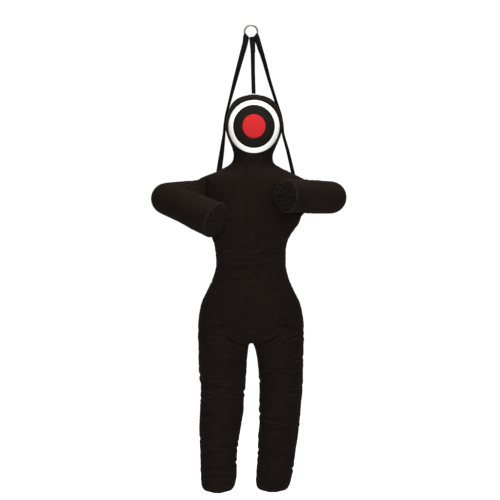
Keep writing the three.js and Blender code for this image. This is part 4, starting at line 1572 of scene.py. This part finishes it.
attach(finish_piece(zip_chain(), BRASS, ["zip_teeth"]), "torso")
for name in ("zip_slider", "zip_pull"):
    node = frame["nodes"][name]
    node.data.materials.clear()
    node.data.materials.append(BRASS)

TAPE_EDGE, TAPE_END = 3 * MM, 4 * MM  # from the tape's edges and ends to its stitches
tape_lines = []
for side in SIDES:
    low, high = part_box(f"zip_tape_{side}")
    for x in (low.x + TAPE_EDGE, high.x - TAPE_EDGE):
        heights = np.linspace(low.z + TAPE_END, high.z - TAPE_END, 60)
        tape_lines.append([(arr(x, high.y, z), BACK) for z in heights])
stitches("stitches_zip", tape_lines, "torso", FINE_STITCH, THREAD)

# ---------------------------------------------------------------- floor and light

FLOOR_Z, FLOOR_RADIUS = -2.55, 14
floor_mesh = bmesh.new()
bmesh.ops.create_circle(floor_mesh, cap_ends=True, segments=96, radius=FLOOR_RADIUS)
floor_data = bpy.data.meshes.new("floor")
floor_mesh.to_mesh(floor_data)
floor_mesh.free()
floor = bpy.data.objects.new("floor", floor_data)
bpy.context.scene.collection.objects.link(floor)
floor.location = (0, 0, FLOOR_Z)
g = Graph("floor")
seen = g.node("ShaderNodeLightPath").outputs["Is Camera Ray"]
paper = g.span(g.noise(g.node("ShaderNodeTexCoord").outputs["Object"], 3), 0.3, 0.7, 0.55, 0.65)
shader = g.node("ShaderNodeBsdfPrincipled", {
    "Base Color": (0.9, 0.9, 0.9, 1), "Roughness": paper,
    "Emission Color": (1, 1, 1, 1), "Emission Strength": g.times(seen, 0.9),
})
g.links.new(shader.outputs[0], g.output.inputs[0])
floor_data.materials.append(g.material)

WORLD_LIGHT, BACKDROP = 0.16, 1.05
world = bpy.data.worlds.new("studio")
bpy.context.scene.world = world
world.use_nodes = True
tree_w = world.node_tree
tree_w.nodes.clear()
out = tree_w.nodes.new("ShaderNodeOutputWorld")
mix = tree_w.nodes.new("ShaderNodeMixShader")
path = tree_w.nodes.new("ShaderNodeLightPath")
tree_w.links.new(path.outputs["Is Camera Ray"], mix.inputs[0])
for socket, strength in ((1, WORLD_LIGHT), (2, BACKDROP)):
    shade = tree_w.nodes.new("ShaderNodeBackground")
    shade.inputs[0].default_value = (1, 1, 1, 1)
    shade.inputs[1].default_value = strength
    tree_w.links.new(shade.outputs[0], mix.inputs[socket])
tree_w.links.new(mix.outputs[0], out.inputs[0])


def soft_light(name, place, target, size, power, colour):
    data = bpy.data.lights.new(name, "AREA")
    data.shape = "DISK"
    data.size, data.energy, data.color = size, power, colour
    lamp = bpy.data.objects.new(name, data)
    bpy.context.scene.collection.objects.link(lamp)
    lamp.location = place
    lamp.rotation_euler = (Vector(target) - Vector(place)).to_track_quat("-Z", "Y").to_euler()


soft_light("key", (0.4, -4.4, -0.2), (0, 0, -1.0), 2.6, 175, (1, 0.99, 0.97))
soft_light("top", (0.1, -0.5, 1.6), (0, 0, -0.8), 1.4, 60, (1, 0.9, 0.82))
soft_light("back", (-1.5, 4.5, 0.2), (0, 0, -1.0), 2.2, 45, (1, 1, 1))

bpy.context.scene.view_settings.view_transform = "Standard"
